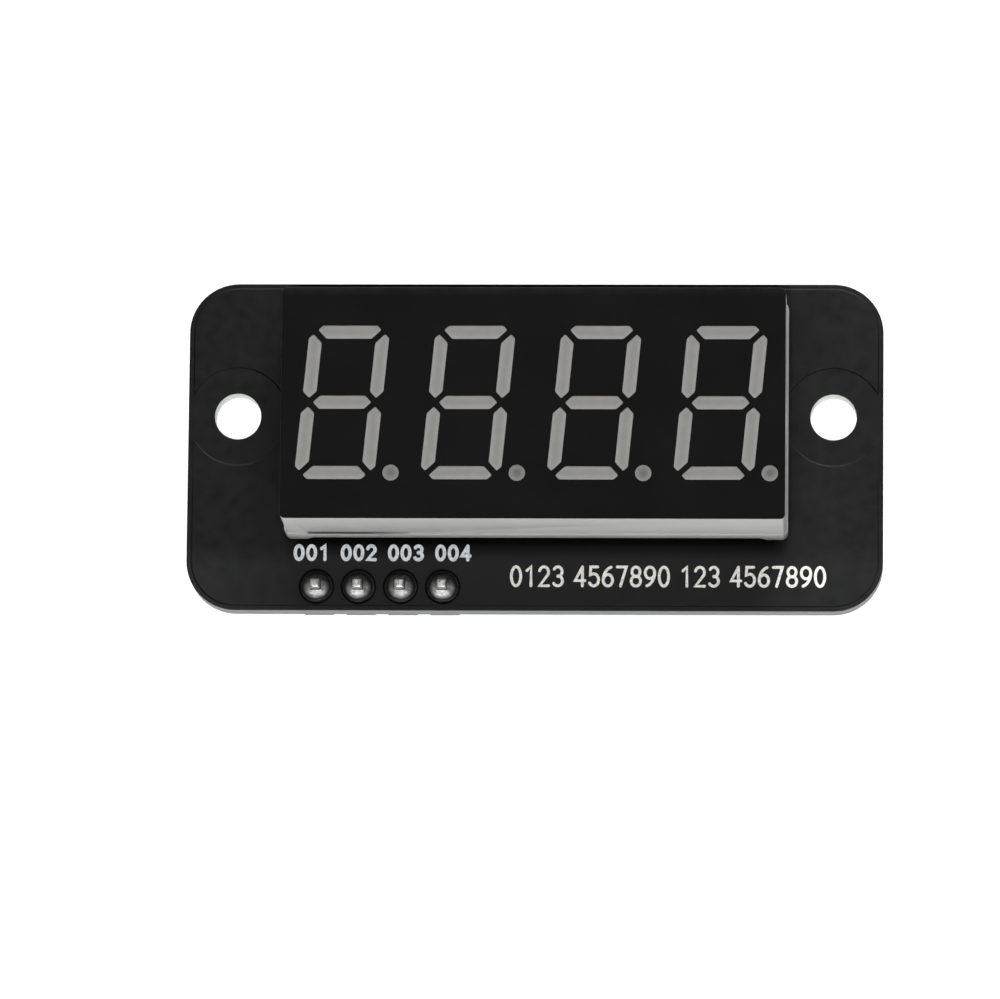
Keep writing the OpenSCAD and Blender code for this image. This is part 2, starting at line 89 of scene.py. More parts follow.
class ModuleSizes(bpy.types.PropertyGroup):
    """Sizes of the details that are added to the solids"""
    mask_slope: size("Mask slope", "Width of the slope where the mask steps down past the copper", 0.11)
    mask_lip: size("Mask lip", "Rounding of the mask along the board's edge", 0.06)
    film_round: size("Face rounding", "Width of the rounding along the edge of the black face", 0.09)
    film_lip: size("Opening rounding", "Rounding of the black face at each window", 0.03)
    shell_round: size("Housing rounding", "Rounding of the housing's outer edges", 0.06)
    sag: size("Window sag", "Depth to which the resin sinks in the middle of a window", 0.025)
    resin_below: size("Window depth", "Distance from the face down to the resin at a window's edge", 0.05)
    pin_round: size("Pin rounding", "Rounding of the edges of the pins", 0.07)
    moulding_round: size("Moulding rounding", "Rounding of the header body and the chip", 0.05)
    lead_round: size("Lead rounding", "Rounding of the edges of the chip's leads", 0.025)
    part_round: size("Small part rounding", "Rounding of the capacitors, resistors and their caps", 0.04)
    solder_wander: size("Solder wander", "How far a solder joint strays from a true round", 0.06)
    ink_height: size("Ink thickness", "Thickness of the printed numbers and lines", 0.018)
    pin_number_height: size("Pin number height", "Height of the numbers above the header pins", 1.04)
    row_number_height: size("Row number height", "Height of the row of numbers beside the header", 1.33)
    line_width: size("Line width", "Width of the printed outlines on the rear", 0.15)
    track_width: size("Track width", "Width of a copper track under the rear mask", 0.28)
    track_height: size("Track height", "Height by which a track lifts the rear mask", 0.02)
    via_radius: size("Via radius", "Radius of a covered via on the rear", 0.32)
    solder_seed: IntProperty(name="Solder seed", description="Picks the shapes of the solder joints",
                             default=4, min=0)
    row_numbers: StringProperty(name="Row numbers", description="Plain numbers printed beside the header",
                                default="0123 4567890 123 4567890")


class ModuleColours(bpy.types.PropertyGroup):
    """Colours of the finishes"""
    mask: colour("Mask", "Black solder mask", (0.0070, 0.0071, 0.0073))
    laminate: colour("Laminate", "Sawn edge of the circuit board", (0.27, 0.275, 0.268))
    housing: colour("Housing", "White moulded shell", (0.445, 0.449, 0.440))
    film: colour("Face", "Black front of the display", (0.0035, 0.0035, 0.0036))
    rim: colour("Window rim", "Resin beside the wall of a window", (0.272, 0.27, 0.265))
    middle: colour("Window middle", "Resin over the depth of a window", (0.216, 0.214, 0.21))
    inner_board: colour("Inner board", "Circuit board inside the display", (0.10, 0.17, 0.08))
    potting: colour("Potting", "Resin that seals the display's rear", (0.6, 0.58, 0.48))
    die: colour("Die", "Light emitting dies", (0.62, 0.5, 0.22))
    tin: colour("Tin", "Tinned copper and pins", (0.74, 0.73, 0.70))
    solder: colour("Solder", "Solder of the joints", (0.78, 0.78, 0.785))
    plastic: colour("Header body", "Black moulded header", (0.018, 0.018, 0.019))
    moulding: colour("Chip", "Moulded body of the chip", (0.033, 0.033, 0.035))
    ceramic: colour("Capacitor", "Ceramic of the capacitors", (0.36, 0.25, 0.16))
    ink: colour("Pin number ink", "Ink of the numbers over the pins", (0.80, 0.83, 0.85))
    row_ink: colour("Row number ink", "Ink of the row of numbers", (0.95, 0.93, 0.88))
    floor: colour("Floor", "Floor and backdrop", (0.75, 0.75, 0.75))


# Materials

class Finish:
    """A material built node by node on its object's own coordinates"""

    def __init__(self, name, base, roughness, metallic=0.0, specular=0.5):
        self.material = bpy.data.materials.new(name)
        self.material.use_nodes = True
        self.material.diffuse_color = (*base, 1.0)
        self.tree = self.material.node_tree
        self.shader = self.tree.nodes["Principled BSDF"]
        self.shader.inputs["Base Color"].default_value = (*base, 1.0)
        self.shader.inputs["Roughness"].default_value = roughness
        self.shader.inputs["Metallic"].default_value = metallic
        self.shader.inputs["Specular IOR Level"].default_value = specular
        self.place = self.tree.nodes.new("ShaderNodeTexCoord").outputs["Object"]
        self.normal = None

    def node(self, kind, **values):
        made = self.tree.nodes.new(kind)
        for name, value in values.items():
            if hasattr(made, name):
                setattr(made, name, value)
            else:
                self.put(made.inputs[name.replace("_", " ").title()], value)
        return made

    def put(self, socket, value):
        if isinstance(value, bpy.types.NodeSocket):
            self.tree.links.new(value, socket)
        else:
            socket.default_value = value

    def stretched(self, x, y, z):
        """The object's coordinates, stretched by a factor along each axis"""
        mapping = self.node("ShaderNodeMapping")
        self.put(mapping.inputs["Vector"], self.place)
        mapping.inputs["Scale"].default_value = (x, y, z)
        return mapping.outputs["Vector"]

    def grain(self, feature_mm, detail=2.0, roughness=0.5, where=None, distortion=0.0):
        """Noise whose features are about feature_mm across"""
        made = self.node("ShaderNodeTexNoise")
        self.put(made.inputs["Vector"], where or self.place)
        made.inputs["Scale"].default_value = 1.0 / (feature_mm * MM)
        made.inputs["Detail"].default_value = detail
        made.inputs["Roughness"].default_value = roughness
        made.inputs["Distortion"].default_value = distortion
        return made.outputs["Fac"]

    def cells(self, feature_mm, feature="F1", where=None):
        made = self.node("ShaderNodeTexVoronoi", feature=feature)
        self.put(made.inputs["Vector"], where or self.place)
        made.inputs["Scale"].default_value = 1.0 / (feature_mm * MM)
        return made.outputs["Distance"]

    def span(self, value, low, high, to_low, to_high):
        made = self.node("ShaderNodeMapRange")
        self.put(made.inputs["Value"], value)
        for name, number in (("From Min", low), ("From Max", high), ("To Min", to_low), ("To Max", to_high)):
            made.inputs[name].default_value = number
        return made.outputs["Result"]

    def maths(self, operation, first, second=0.0):
        made = self.node("ShaderNodeMath", operation=operation)
        self.put(made.inputs[0], first)
        self.put(made.inputs[1], second)
        return made.outputs[0]

    def mixed(self, factor, first, second):
        made = self.node("ShaderNodeMix", data_type="RGBA")
        self.put(made.inputs[0], factor)
        for socket, value in ((made.inputs[6], first), (made.inputs[7], second)):
            self.put(socket, value if isinstance(value, bpy.types.NodeSocket) else (*value, 1.0))
        return made.outputs[2]

    def height_of(self):
        """The object's own height above the rear face of the board, in millimetres"""
        parts = self.node("ShaderNodeSeparateXYZ")
        self.put(parts.inputs[0], self.place)
        return self.maths("MULTIPLY", parts.outputs["Z"], 1.0 / MM)

    def painted(self, value):
        self.put(self.shader.inputs["Base Color"], value)

    def roughened(self, value):
        self.put(self.shader.inputs["Roughness"], value)

    def bump(self, value, depth_mm, strength=1.0):
        """A relief of depth_mm from a value between 0 and 1, over any relief that came before it"""
        made = self.node("ShaderNodeBump")
        made.inputs["Strength"].default_value = strength
        made.inputs["Distance"].default_value = depth_mm * MM
        self.put(made.inputs["Height"], value)
        if self.normal:
            self.put(made.inputs["Normal"], self.normal)
        self.normal = made.outputs["Normal"]
        self.put(self.shader.inputs["Normal"], self.normal)


def shade(base, factor):
    return tuple(min(1.0, part * factor) for part in base)


def housing_contact_shade(made):
    """How near a point of the front lies to the foot of the housing's lower side, where a contact shadow is painted on
    the mask
    """
    low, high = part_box("display_housing")
    parts = made.node("ShaderNodeSeparateXYZ")
    made.put(parts.inputs[0], made.place)
    near = made.span(parts.outputs["Y"], low.y - 1.2 * MM, low.y - 0.1 * MM, 0.0, 1.0)
    left = made.span(parts.outputs["X"], low.x - 0.3 * MM, low.x + 0.9 * MM, 0.0, 1.0)
    right = made.span(parts.outputs["X"], high.x - 0.9 * MM, high.x + 0.3 * MM, 1.0, 0.0)
    front = made.span(parts.outputs["Z"], 0.8 * MM, 1.0 * MM, 0.0, 1.0)
    return made.maths("MULTIPLY", made.maths("MULTIPLY", near, front), made.maths("MULTIPLY", left, right))


def solder_mask_finish(base):
    made = Finish("satin_solder_mask", base, 0.46, specular=0.25)
    cloud = made.grain(3.4, 3.0)
    tone = made.mixed(made.span(cloud, 0.35, 0.65, 0.0, 1.0), shade(base, 0.82), shade(base, 1.28))
    parts = made.node("ShaderNodeSeparateXYZ")
    made.put(parts.inputs[0], made.place)
    # Painted shade darkens the mask at the board's left end, and painted light lightens it along the lower part of the
    # board
    tone = made.mixed(made.span(parts.outputs["X"], -16.0 * MM, -14.5 * MM, 1.0, 0.0), tone, shade(base, 0.55))
    tone = made.mixed(made.span(parts.outputs["Y"], -9.0 * MM, -7.9 * MM, 1.0, 0.0), tone, shade(base, 1.7))
    # step holds the painted shade that mask_piece puts on the slopes and on the lips of the openings
    step = made.node("ShaderNodeAttribute", attribute_name="step").outputs["Fac"]
    # Painted shade: the contact shadow along the housing's foot and the painted step shade darken the mask and take
    # away its sheen
    painted_shade = made.maths("MAXIMUM", housing_contact_shade(made), step)
    made.painted(made.mixed(painted_shade, tone, shade(base, 0.3)))
    made.put(made.shader.inputs["Specular IOR Level"], made.span(painted_shade, 0.0, 0.9, 0.22, 0.02))
    made.roughened(made.span(made.grain(0.7, 4.0), 0.3, 0.7, 0.40, 0.54))
    made.bump(made.grain(0.55, 2.0), 0.004)
    made.bump(made.grain(0.06, 2.0), 0.0012)
    return made.material


def track_finish(base):
    """Solder mask over copper, which shows a little lighter and smoother"""
    made = Finish("mask_over_copper", base, 0.34, specular=0.5)
    made.painted(made.mixed(made.span(made.grain(0.5, 3.0), 0.3, 0.7, 0.0, 1.0), shade(base, 0.9), shade(base, 1.2)))
    made.bump(made.grain(0.05, 2.0), 0.0015)
    return made.material


def laminate_finish(base):
    """Glass cloth in layers, as the saw leaves it on the edge"""
    made = Finish("sawn_glass_laminate", base, 0.82, specular=0.3)
    layers = made.node("ShaderNodeTexWave", wave_type="BANDS", bands_direction="Z")
    made.put(layers.inputs["Vector"], made.place)
    layers.inputs["Scale"].default_value = 0.8 / MM
    layers.inputs["Distortion"].default_value = 1.6
    layers.inputs["Detail"].default_value = 2.0
    layers.inputs["Detail Scale"].default_value = 2.0
    weave = made.grain(0.5, 3.0, where=made.stretched(1.0, 1.0, 5.0))
    tone = made.mixed(made.span(layers.outputs["Fac"], 0.2, 0.8, 0.0, 0.7), shade(base, 0.78), shade(base, 1.16))
    tone = made.mixed(made.span(weave, 0.4, 0.75, 0.0, 0.5), tone, shade(base, 1.3))
    parts = made.node("ShaderNodeSeparateXYZ")
    made.put(parts.inputs[0], made.place)
    across = made.span(made.maths("ABSOLUTE", parts.outputs["X"]), 19.6 * MM, 19.9 * MM, 1.0, 0.0)
    drilled = made.span(made.maths("ABSOLUTE", parts.outputs["Y"]), 2.0 * MM, 2.2 * MM, 1.0, 0.0)
    made.painted(made.mixed(made.maths("MULTIPLY", across, drilled), tone, shade(base, 2.6)))
    made.bump(layers.outputs["Fac"], 0.012)
    made.bump(made.grain(0.08, 3.0), 0.01)
    return made.material


def groove_shade(made):
    """Painted shade in the groove of the housing's lower side and in the corner under it"""
    low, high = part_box("display_housing")
    places = [vert.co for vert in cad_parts["display_housing"].data.vertices]
    side = min(place.y for place in places if place.z > high.z - MM)
    found = [place for place in places if side + 0.05 * MM < place.y < side + 0.5 * MM
             and low.x + 1.2 * MM < place.x < high.x - 1.2 * MM and place.z < high.z - 2.0 * MM]
    left, right = min(place.x for place in found), max(place.x for place in found)
    bottom, top = min(place.z for place in found), max(place.z for place in found)
    parts = made.node("ShaderNodeSeparateXYZ")
    made.put(parts.inputs[0], made.place)
    along = made.maths("MULTIPLY", made.span(parts.outputs["X"], left, left + 0.1 * MM, 0.0, 1.0),
                       made.span(parts.outputs["X"], right - 2.5 * MM, right, 1.0, 0.25))
    inside = made.span(parts.outputs["X"], right, right + 0.1 * MM, 1.0, 0.0)
    height = made.maths("MULTIPLY", made.span(parts.outputs["Z"], bottom - 0.02 * MM, bottom, 0.0, 1.0),
                        made.span(parts.outputs["Z"], top, top + 0.3 * MM, 1.0, 0.0))
    corner = made.maths("MULTIPLY", made.span(parts.outputs["Y"], side - 0.09 * MM, side - 0.05 * MM, 0.0, 1.0),
                        made.span(parts.outputs["Y"], side + 0.6 * MM, side + 0.7 * MM, 1.0, 0.0))
    return made.maths("MULTIPLY", made.maths("MULTIPLY", along, inside), made.maths("MULTIPLY", height, corner))


def housing_finish(base):
    made = Finish("white_moulded_housing", base, 0.42, specular=0.5)
    # Painted shade: the walls are darker towards the board, broken up by a random cloud
    low = made.span(made.height_of(), 1.6, 6.6, 1.0, 0.0)
    cloud = made.span(made.grain(1.6, 4.0), 0.4, 0.7, 0.0, 1.0)
    painted_low_shade = made.maths("MULTIPLY", low, made.maths("ADD", made.maths("MULTIPLY", cloud, 0.5), 0.35))
    tone = made.mixed(painted_low_shade, base, shade(base, 0.95))
    parts = made.node("ShaderNodeSeparateXYZ")
    made.put(parts.inputs[0], made.place)
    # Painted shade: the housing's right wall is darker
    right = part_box("display_housing")[1].x
    tone = made.mixed(made.span(parts.outputs["X"], right - 0.3 * MM, right - 0.2 * MM, 0.0, 1.0),
                      tone, shade(base, 0.62))
    # Painted shade: the groove is nearly black
    made.painted(made.mixed(groove_shade(made), tone, shade(base, 0.1)))
    made.roughened(made.span(made.grain(0.9, 3.0), 0.3, 0.7, 0.36, 0.5))
    flow = made.grain(0.5, 2.0, where=made.stretched(0.12, 0.12, 1.0))
    made.bump(flow, 0.006)
    made.bump(made.grain(0.07, 2.0), 0.003)
    return made.material


def film_finish(base):
    made = Finish("matt_black_face", base, 0.58, specular=0.07)
    cloud = made.grain(5.0, 3.0)
    tone = made.mixed(made.span(cloud, 0.35, 0.65, 0.0, 1.0), shade(base, 0.8), shade(base, 1.25))
    parts = made.node("ShaderNodeSeparateXYZ")
    made.put(parts.inputs[0], made.place)
    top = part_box("display_face")[1].y
    # Painted highlight: a lighter band along the face's top edge, broken up by noise
    top_highlight_band = made.span(parts.outputs["Y"], top - 0.55 * MM, top - 0.05 * MM, 0.0, 1.0)
    wear_and_highlight = made.maths("MULTIPLY", top_highlight_band, made.span(made.grain(1.2, 3.0), 0.35, 0.6, 0.4, 1.0))
    made.painted(made.mixed(wear_and_highlight, tone, shade(base, 3.4)))
    made.roughened(made.span(made.grain(0.25, 3.0), 0.3, 0.7, 0.52, 0.66))
    made.bump(made.grain(0.09, 3.0), 0.0035)
    return made.material


def resin_finish(name, rim, middle):
    """Milky resin that looks darker where it is deep, away from the walls of its well"""
    made = Finish(name, middle, 0.34, specular=0.5)
    depth = made.node("ShaderNodeAttribute", attribute_name="depth").outputs["Fac"]
    wander = made.maths("MULTIPLY", made.span(made.grain(0.55, 3.0), 0.3, 0.7, -0.5, 0.5), 0.35)
    deep = made.span(made.maths("ADD", depth, wander), 0.05, 0.85, 0.0, 1.0)
    tone = made.mixed(deep, rim, middle)
    speck = made.span(made.grain(0.05, 2.0), 0.55, 0.75, 0.0, 0.22)
    made.painted(made.mixed(speck, tone, shade(rim, 1.2)))
    made.roughened(made.span(made.grain(0.3, 3.0), 0.3, 0.7, 0.28, 0.42))
    made.bump(made.grain(0.35, 2.0), 0.004)
    return made.material


def metal_finish(name, base, low, high, feature, dent, streak=(1.0, 1.0, 1.0)):
    made = Finish(name, base, (low + high) / 2, metallic=1.0)
    cloud = made.grain(feature, 3.0, where=made.stretched(*streak))
    made.painted(made.mixed(made.span(cloud, 0.3, 0.7, 0.0, 1.0), shade(base, 0.84), shade(base, 1.1)))
    made.roughened(made.span(made.grain(feature * 0.6, 4.0, where=made.stretched(*streak)), 0.3, 0.7, low, high))
    made.bump(made.grain(feature * 0.5, 3.0, where=made.stretched(*streak)), dent)
    return made.material


def solder_finish(base):
    """Solder with painted shade: dark where it thins out on its pad and on the upper side of the header's joints"""
    made = Finish("bright_solder", base, 0.3, metallic=0.84)
    depth = made.maths("ABSOLUTE", made.maths("SUBTRACT", made.height_of(), 0.8))
    # Painted shade: the solder near the board, where it spreads on its pad, is nearly black
    painted_edge_shade = made.span(depth, 0.88, 1.2, 1.0, 0.0)
    tone = made.mixed(made.span(made.grain(0.16, 4.0), 0.3, 0.7, 0.0, 1.0), shade(base, 0.62), shade(base, 1.4))
    low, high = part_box("header_solder")
    row = (low.y + high.y) / 2
    parts = made.node("ShaderNodeSeparateXYZ")
    made.put(parts.inputs[0], made.place)
    # Painted shade: the upper side of the header's joints is darker
    upper = made.span(parts.outputs["Y"], row - 0.15 * MM, row + 0.3 * MM, 0.0, 1.0)
    painted_upper_shade = made.maths("MULTIPLY", upper, made.span(made.height_of(), 1.5, 1.6, 0.0, 1.0))
    tone = made.mixed(made.maths("MULTIPLY", painted_upper_shade, made.span(made.grain(0.3, 3.0), 0.35, 0.6, 0.7, 1.0)),
                      tone, shade(base, 0.16))
    made.painted(made.mixed(painted_edge_shade, tone, shade(base, 0.03)))
    made.roughened(made.span(made.grain(0.2, 4.0), 0.3, 0.7, 0.32, 0.5))
    made.bump(made.grain(0.2, 3.0), 0.03)
    return made.material


def pin_finish(base):
    """Tinned pins: sides painted darker than the tin as painted shade, and bright cut ends, partly fresh metal and
    partly a painted highlight
    """
    made = Finish("tinned_pin", base, 0.3, metallic=1.0)
    streak = made.grain(0.3, 3.0, where=made.stretched(1.0, 1.0, 0.15))
    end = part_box("header_pin_1")[1].z / MM
    cut = made.span(made.height_of(), end - 0.02, end - 0.008, 0.0, 1.0)
    shear = made.mixed(made.span(made.grain(0.18, 2.0), 0.4, 0.6, 0.0, 1.0), (0.45, 0.45, 0.44), (0.95, 0.95, 0.94))
    made.painted(made.mixed(cut, made.mixed(streak, shade(base, 0.3), shade(base, 0.55)), shear))
    made.roughened(made.span(cut, 0.0, 1.0, 0.27, 0.6))
    made.bump(streak, 0.004)
    return made.material


def plastic_finish(name, base, roughness, grain_mm, depth_mm, specular=0.45):
    made = Finish(name, base, roughness, specular=specular)
    cloud = made.grain(1.1, 4.0)
    made.painted(made.mixed(made.span(cloud, 0.35, 0.7, 0.0, 1.0), shade(base, 0.85), shade(base, 1.4)))
    made.roughened(made.span(made.grain(grain_mm * 3, 3.0), 0.3, 0.7, roughness - 0.06, roughness + 0.08))
    made.bump(made.cells(grain_mm), depth_mm)
    return made.material


def ceramic_finish(base):
    made = Finish("capacitor_ceramic", base, 0.62, specular=0.4)
    spots = made.span(made.cells(0.09), 0.1, 0.5, 0.0, 1.0)
    made.painted(made.mixed(spots, shade(base, 0.75), shade(base, 1.15)))
    made.bump(made.grain(0.05, 3.0), 0.006)
    return made.material


def resistor_finish():
    """White alumina with a black glaze on the side away from the board"""
    made = Finish("glazed_resistor", (0.02, 0.02, 0.024), 0.3, specular=0.5)
    top = made.span(made.height_of(), -0.42, -0.37, 0.0, 1.0)
    alumina = made.mixed(made.span(made.grain(0.06, 3.0), 0.3, 0.7, 0.0, 1.0), (0.6, 0.59, 0.56), (0.8, 0.79, 0.76))
    made.painted(made.mixed(top, (0.02, 0.02, 0.024), alumina))
    made.roughened(made.span(made.grain(0.12, 3.0), 0.3, 0.7, 0.22, 0.42))
    made.bump(made.grain(0.1, 2.0), 0.006)
    return made.material


def ink_finish(name, base):
    made = Finish(name, base, 0.6, specular=0.35)
    wear_and_highlight = made.span(made.grain(0.16, 4.0), 0.32, 0.62, 0.0, 1.0)
    made.painted(made.mixed(wear_and_highlight, shade(base, 0.74), shade(base, 1.06)))
    made.bump(made.grain(0.05, 3.0), 0.005)
    return made.material


def die_finish(base):
    made = Finish("light_die", base, 0.25, metallic=0.4)
    made.painted(made.mixed(made.span(made.cells(0.06), 0.1, 0.5, 0.0, 1.0), shade(base, 1.3), shade(base, 0.7)))
    made.bump(made.grain(0.03, 2.0), 0.002)
    return made.material


def floor_finish(base, glow):
    made = Finish("pale_floor", base, 0.7, specular=0.2)
    made.painted(made.mixed(made.span(made.grain(40.0, 3.0), 0.3, 0.7, 0.0, 1.0), shade(base, 0.992), base))
    made.shader.inputs["Emission Color"].default_value = (1.0, 1.0, 1.0, 1.0)
    made.shader.inputs["Emission Strength"].default_value = glow
    return made.material


finishes = {}


def make_finishes(colours):
    finishes.update({
        "laminate": laminate_finish(colours.laminate),
        "solder_mask": solder_mask_finish(colours.mask),
        "mask_over_copper": track_finish(shade(colours.mask, 3.2)),
        "tinned_copper": metal_finish("tinned_copper", shade(colours.tin, 0.6), 0.3, 0.46, 0.25, 0.006),
        "white_housing": housing_finish(colours.housing),
        "black_face": film_finish(colours.film),
        "window_resin": resin_finish("segment_resin", colours.rim, colours.middle),
        "point_resin": resin_finish("point_resin", shade(colours.rim, 0.8), shade(colours.middle, 0.5)),
        "inner_board": plastic_finish("inner_board", colours.inner_board, 0.55, 0.12, 0.003),
        "light_die": die_finish(colours.die),
        "potting_resin": plastic_finish("potting_resin", colours.potting, 0.3, 0.4, 0.004),
        "pin_metal": pin_finish(colours.tin),
        "solder": solder_finish(colours.solder),
        "header_plastic": plastic_finish("header_plastic", colours.plastic, 0.5, 0.07, 0.004),
        "chip_moulding": plastic_finish("chip_moulding", colours.moulding, 0.6, 0.05, 0.006),
        "lead_metal": metal_finish("tinned_lead", colours.tin, 0.26, 0.42, 0.16, 0.004),
        "capacitor_ceramic": ceramic_finish(colours.ceramic),
        "resistor_body": resistor_finish(),
        "ink": ink_finish("pin_number_ink", colours.ink),
        "row_ink": ink_finish("row_number_ink", colours.row_ink),
        "floor": floor_finish(colours.floor, 0.58),
    })


# Meshes

def cad_copy(node):
    """A bmesh of a solid's mesh with its loose triangles joined"""
    mesh = bmesh.new()
    mesh.from_mesh(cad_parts[node].data)
    bmesh.ops.remove_doubles(mesh, verts=mesh.verts[:], dist=1e-7)
    return mesh


def flattened(mesh):
    """Joins the triangles of each flat face"""
    bmesh.ops.dissolve_limit(mesh, angle_limit=math.radians(0.4), verts=mesh.verts[:], edges=mesh.edges[:])
    return mesh


def rim_loops(mesh, height):
    """Outlines of the flat faces at that height, the longest first, each as (x, y) counter-clockwise"""
    def level(face):
        return all(abs(vert.co.z - height) < FLAT for vert in face.verts)

    follow = {}
    for edge in mesh.edges:
        if len(edge.link_faces) == 2 and level(edge.link_faces[0]) != level(edge.link_faces[1]):
            first, second = edge.verts
            follow.setdefault(first, []).append(second)
            follow.setdefault(second, []).append(first)
    loops = []
    while follow:
        start = next(iter(follow))
        loop, last, here = [start], None, start
        while True:
            step = [vert for vert in follow[here] if vert is not last]
            last, here = here, step[0]
            if here is start:
                break
            loop.append(here)
        for vert in loop:
            del follow[vert]
        points = [Vector((vert.co.x, vert.co.y)) for vert in loop]
        area = sum(a.x * b.y - b.x * a.y for a, b in zip(points, points[1:] + points[:1]))
        loops.append(points if area > 0 else points[::-1])
    return sorted(loops, key=lambda points: -spread(points))


def spread(points):
    xs, ys = [p.x for p in points], [p.y for p in points]
    return max(xs) - min(xs) + max(ys) - min(ys)


def grown(points, distance):
    """An outline moved outwards, or inwards where distance is negative"""
    if not distance:
        return points
    made = []
    for before, here, after in zip(points[-1:] + points[:-1], points, points[1:] + points[:1]):
        first, second = (here - before).normalized(), (after - here).normalized()
        normal = Vector((first.y + second.y, -first.x - second.x)).normalized()
        stretch = max(0.5, normal.dot(Vector((first.y, -first.x))))
        made.append(here + normal * distance / stretch)
    return made


def ring(mesh, points, height):
    return [mesh.verts.new((p.x, p.y, height)) for p in points]


def wall(mesh, first, second):
    """Faces between two rings with the same number of points"""
    count = len(first)
    for i in range(count):
        j = (i + 1) % count
        mesh.faces.new((first[i], first[j], second[j], second[i]))


def stack(mesh, points, steps):
    """Rings of one outline, one for each (growth, height) in steps, joined by walls. Gives the last ring."""
    rings = [ring(mesh, grown(points, growth), height) for growth, height in steps]
    for first, second in zip(rings, rings[1:]):
        wall(mesh, first, second)
    return rings


def sheet_between(mesh, rings):
    """Fills the flat area inside the first ring and outside the others"""
    edges = []
    for verts in rings:
        for first, second in zip(verts, verts[1:] + verts[:1]):
            edges.append(mesh.edges.get((first, second)) or mesh.edges.new((first, second)))
    bmesh.ops.triangle_fill(mesh, edges=edges, use_beauty=True, use_dissolve=False)


def outward(mesh):
    bmesh.ops.recalc_face_normals(mesh, faces=mesh.faces[:])
    return mesh


def rounded(mesh, radius, segments=2, angle=30.0, wanted=None):
    """Rounds the mesh's sharp edges, or those that wanted picks"""
    limit = math.radians(angle)
    edges = [edge for edge in mesh.edges
             if len(edge.link_faces) == 2 and edge.calc_face_angle(0.0) > limit and (not wanted or wanted(edge))]
    bmesh.ops.bevel(mesh, geom=edges, offset=radius, offset_type="OFFSET", segments=segments, profile=0.5,
                    affect="EDGES", clamp_overlap=True)
    return mesh


def turned(profile, steps, stray=None):
    """A closed shape turned about Z from (radius, height) points, the first and the last on the axis"""
    mesh = bmesh.new()
    rings = []
    for radius, height in profile:
        if radius == 0.0:
            rings.append([mesh.verts.new((0.0, 0.0, height))])
            continue
        verts = []
        for i in range(steps):
            angle = math.tau * i / steps
            place = Vector((radius * math.cos(angle), radius * math.sin(angle), height))
            verts.append(mesh.verts.new(stray(place, angle) if stray else place))
        rings.append(verts)
    for first, second in zip(rings, rings[1:]):
        for i in range(steps):
            j = (i + 1) % steps
            corners = [first[i % len(first)], first[j % len(first)], second[j % len(second)], second[i % len(second)]]
            mesh.faces.new(list(dict.fromkeys(corners)))
    return outward(mesh)


def mesh_of(name, mesh, sharp=35.0):
    """Turns a bmesh into a mesh with smooth faces and sharp edges past an angle in degrees"""
    made = bpy.data.meshes.new(name)
    mesh.to_mesh(made)
    mesh.free()
    made.shade_smooth()
    made.set_sharp_from_angle(angle=math.radians(sharp))
    return made


def object_of(name, mesh):
    made = bpy.data.objects.new(name, mesh)
    bpy.context.scene.collection.objects.link(made)
    return made


def piece(name, mesh, slot, nodes=(), finish=None, sharp=35.0):
    """A finished piece of the module, in the place of the CAD nodes that it replaces"""
    made = object_of(name, mesh if isinstance(mesh, bpy.types.Mesh) else mesh_of(name, mesh, sharp))
    made.data.materials.clear()
    made.data.materials.append(finishes[finish or slot])
    for polygon in made.data.polygons:
        polygon.material_index = 0
    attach(made, BODY)
    if nodes:
        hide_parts(*nodes)
    return made


def dressed(node, slot):
    """Gives a CAD node that stays as it is its finish"""
    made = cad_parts[node]
    if not made.material_slots:
        raise RuntimeError(f"{node} has no material slot")
    for material_slot in made.material_slots:
        material_slot.material = finishes[slot]


def plain_mesh(made, name):
    """The evaluated mesh of an object, which is then removed"""
    graph = bpy.context.evaluated_depsgraph_get()
    mesh = bpy.data.meshes.new_from_object(made.evaluated_get(graph), depsgraph=graph)
    mesh.name = name
    bpy.data.objects.remove(made)
    return mesh


# Geometry Nodes: one piece repeated in one row or two

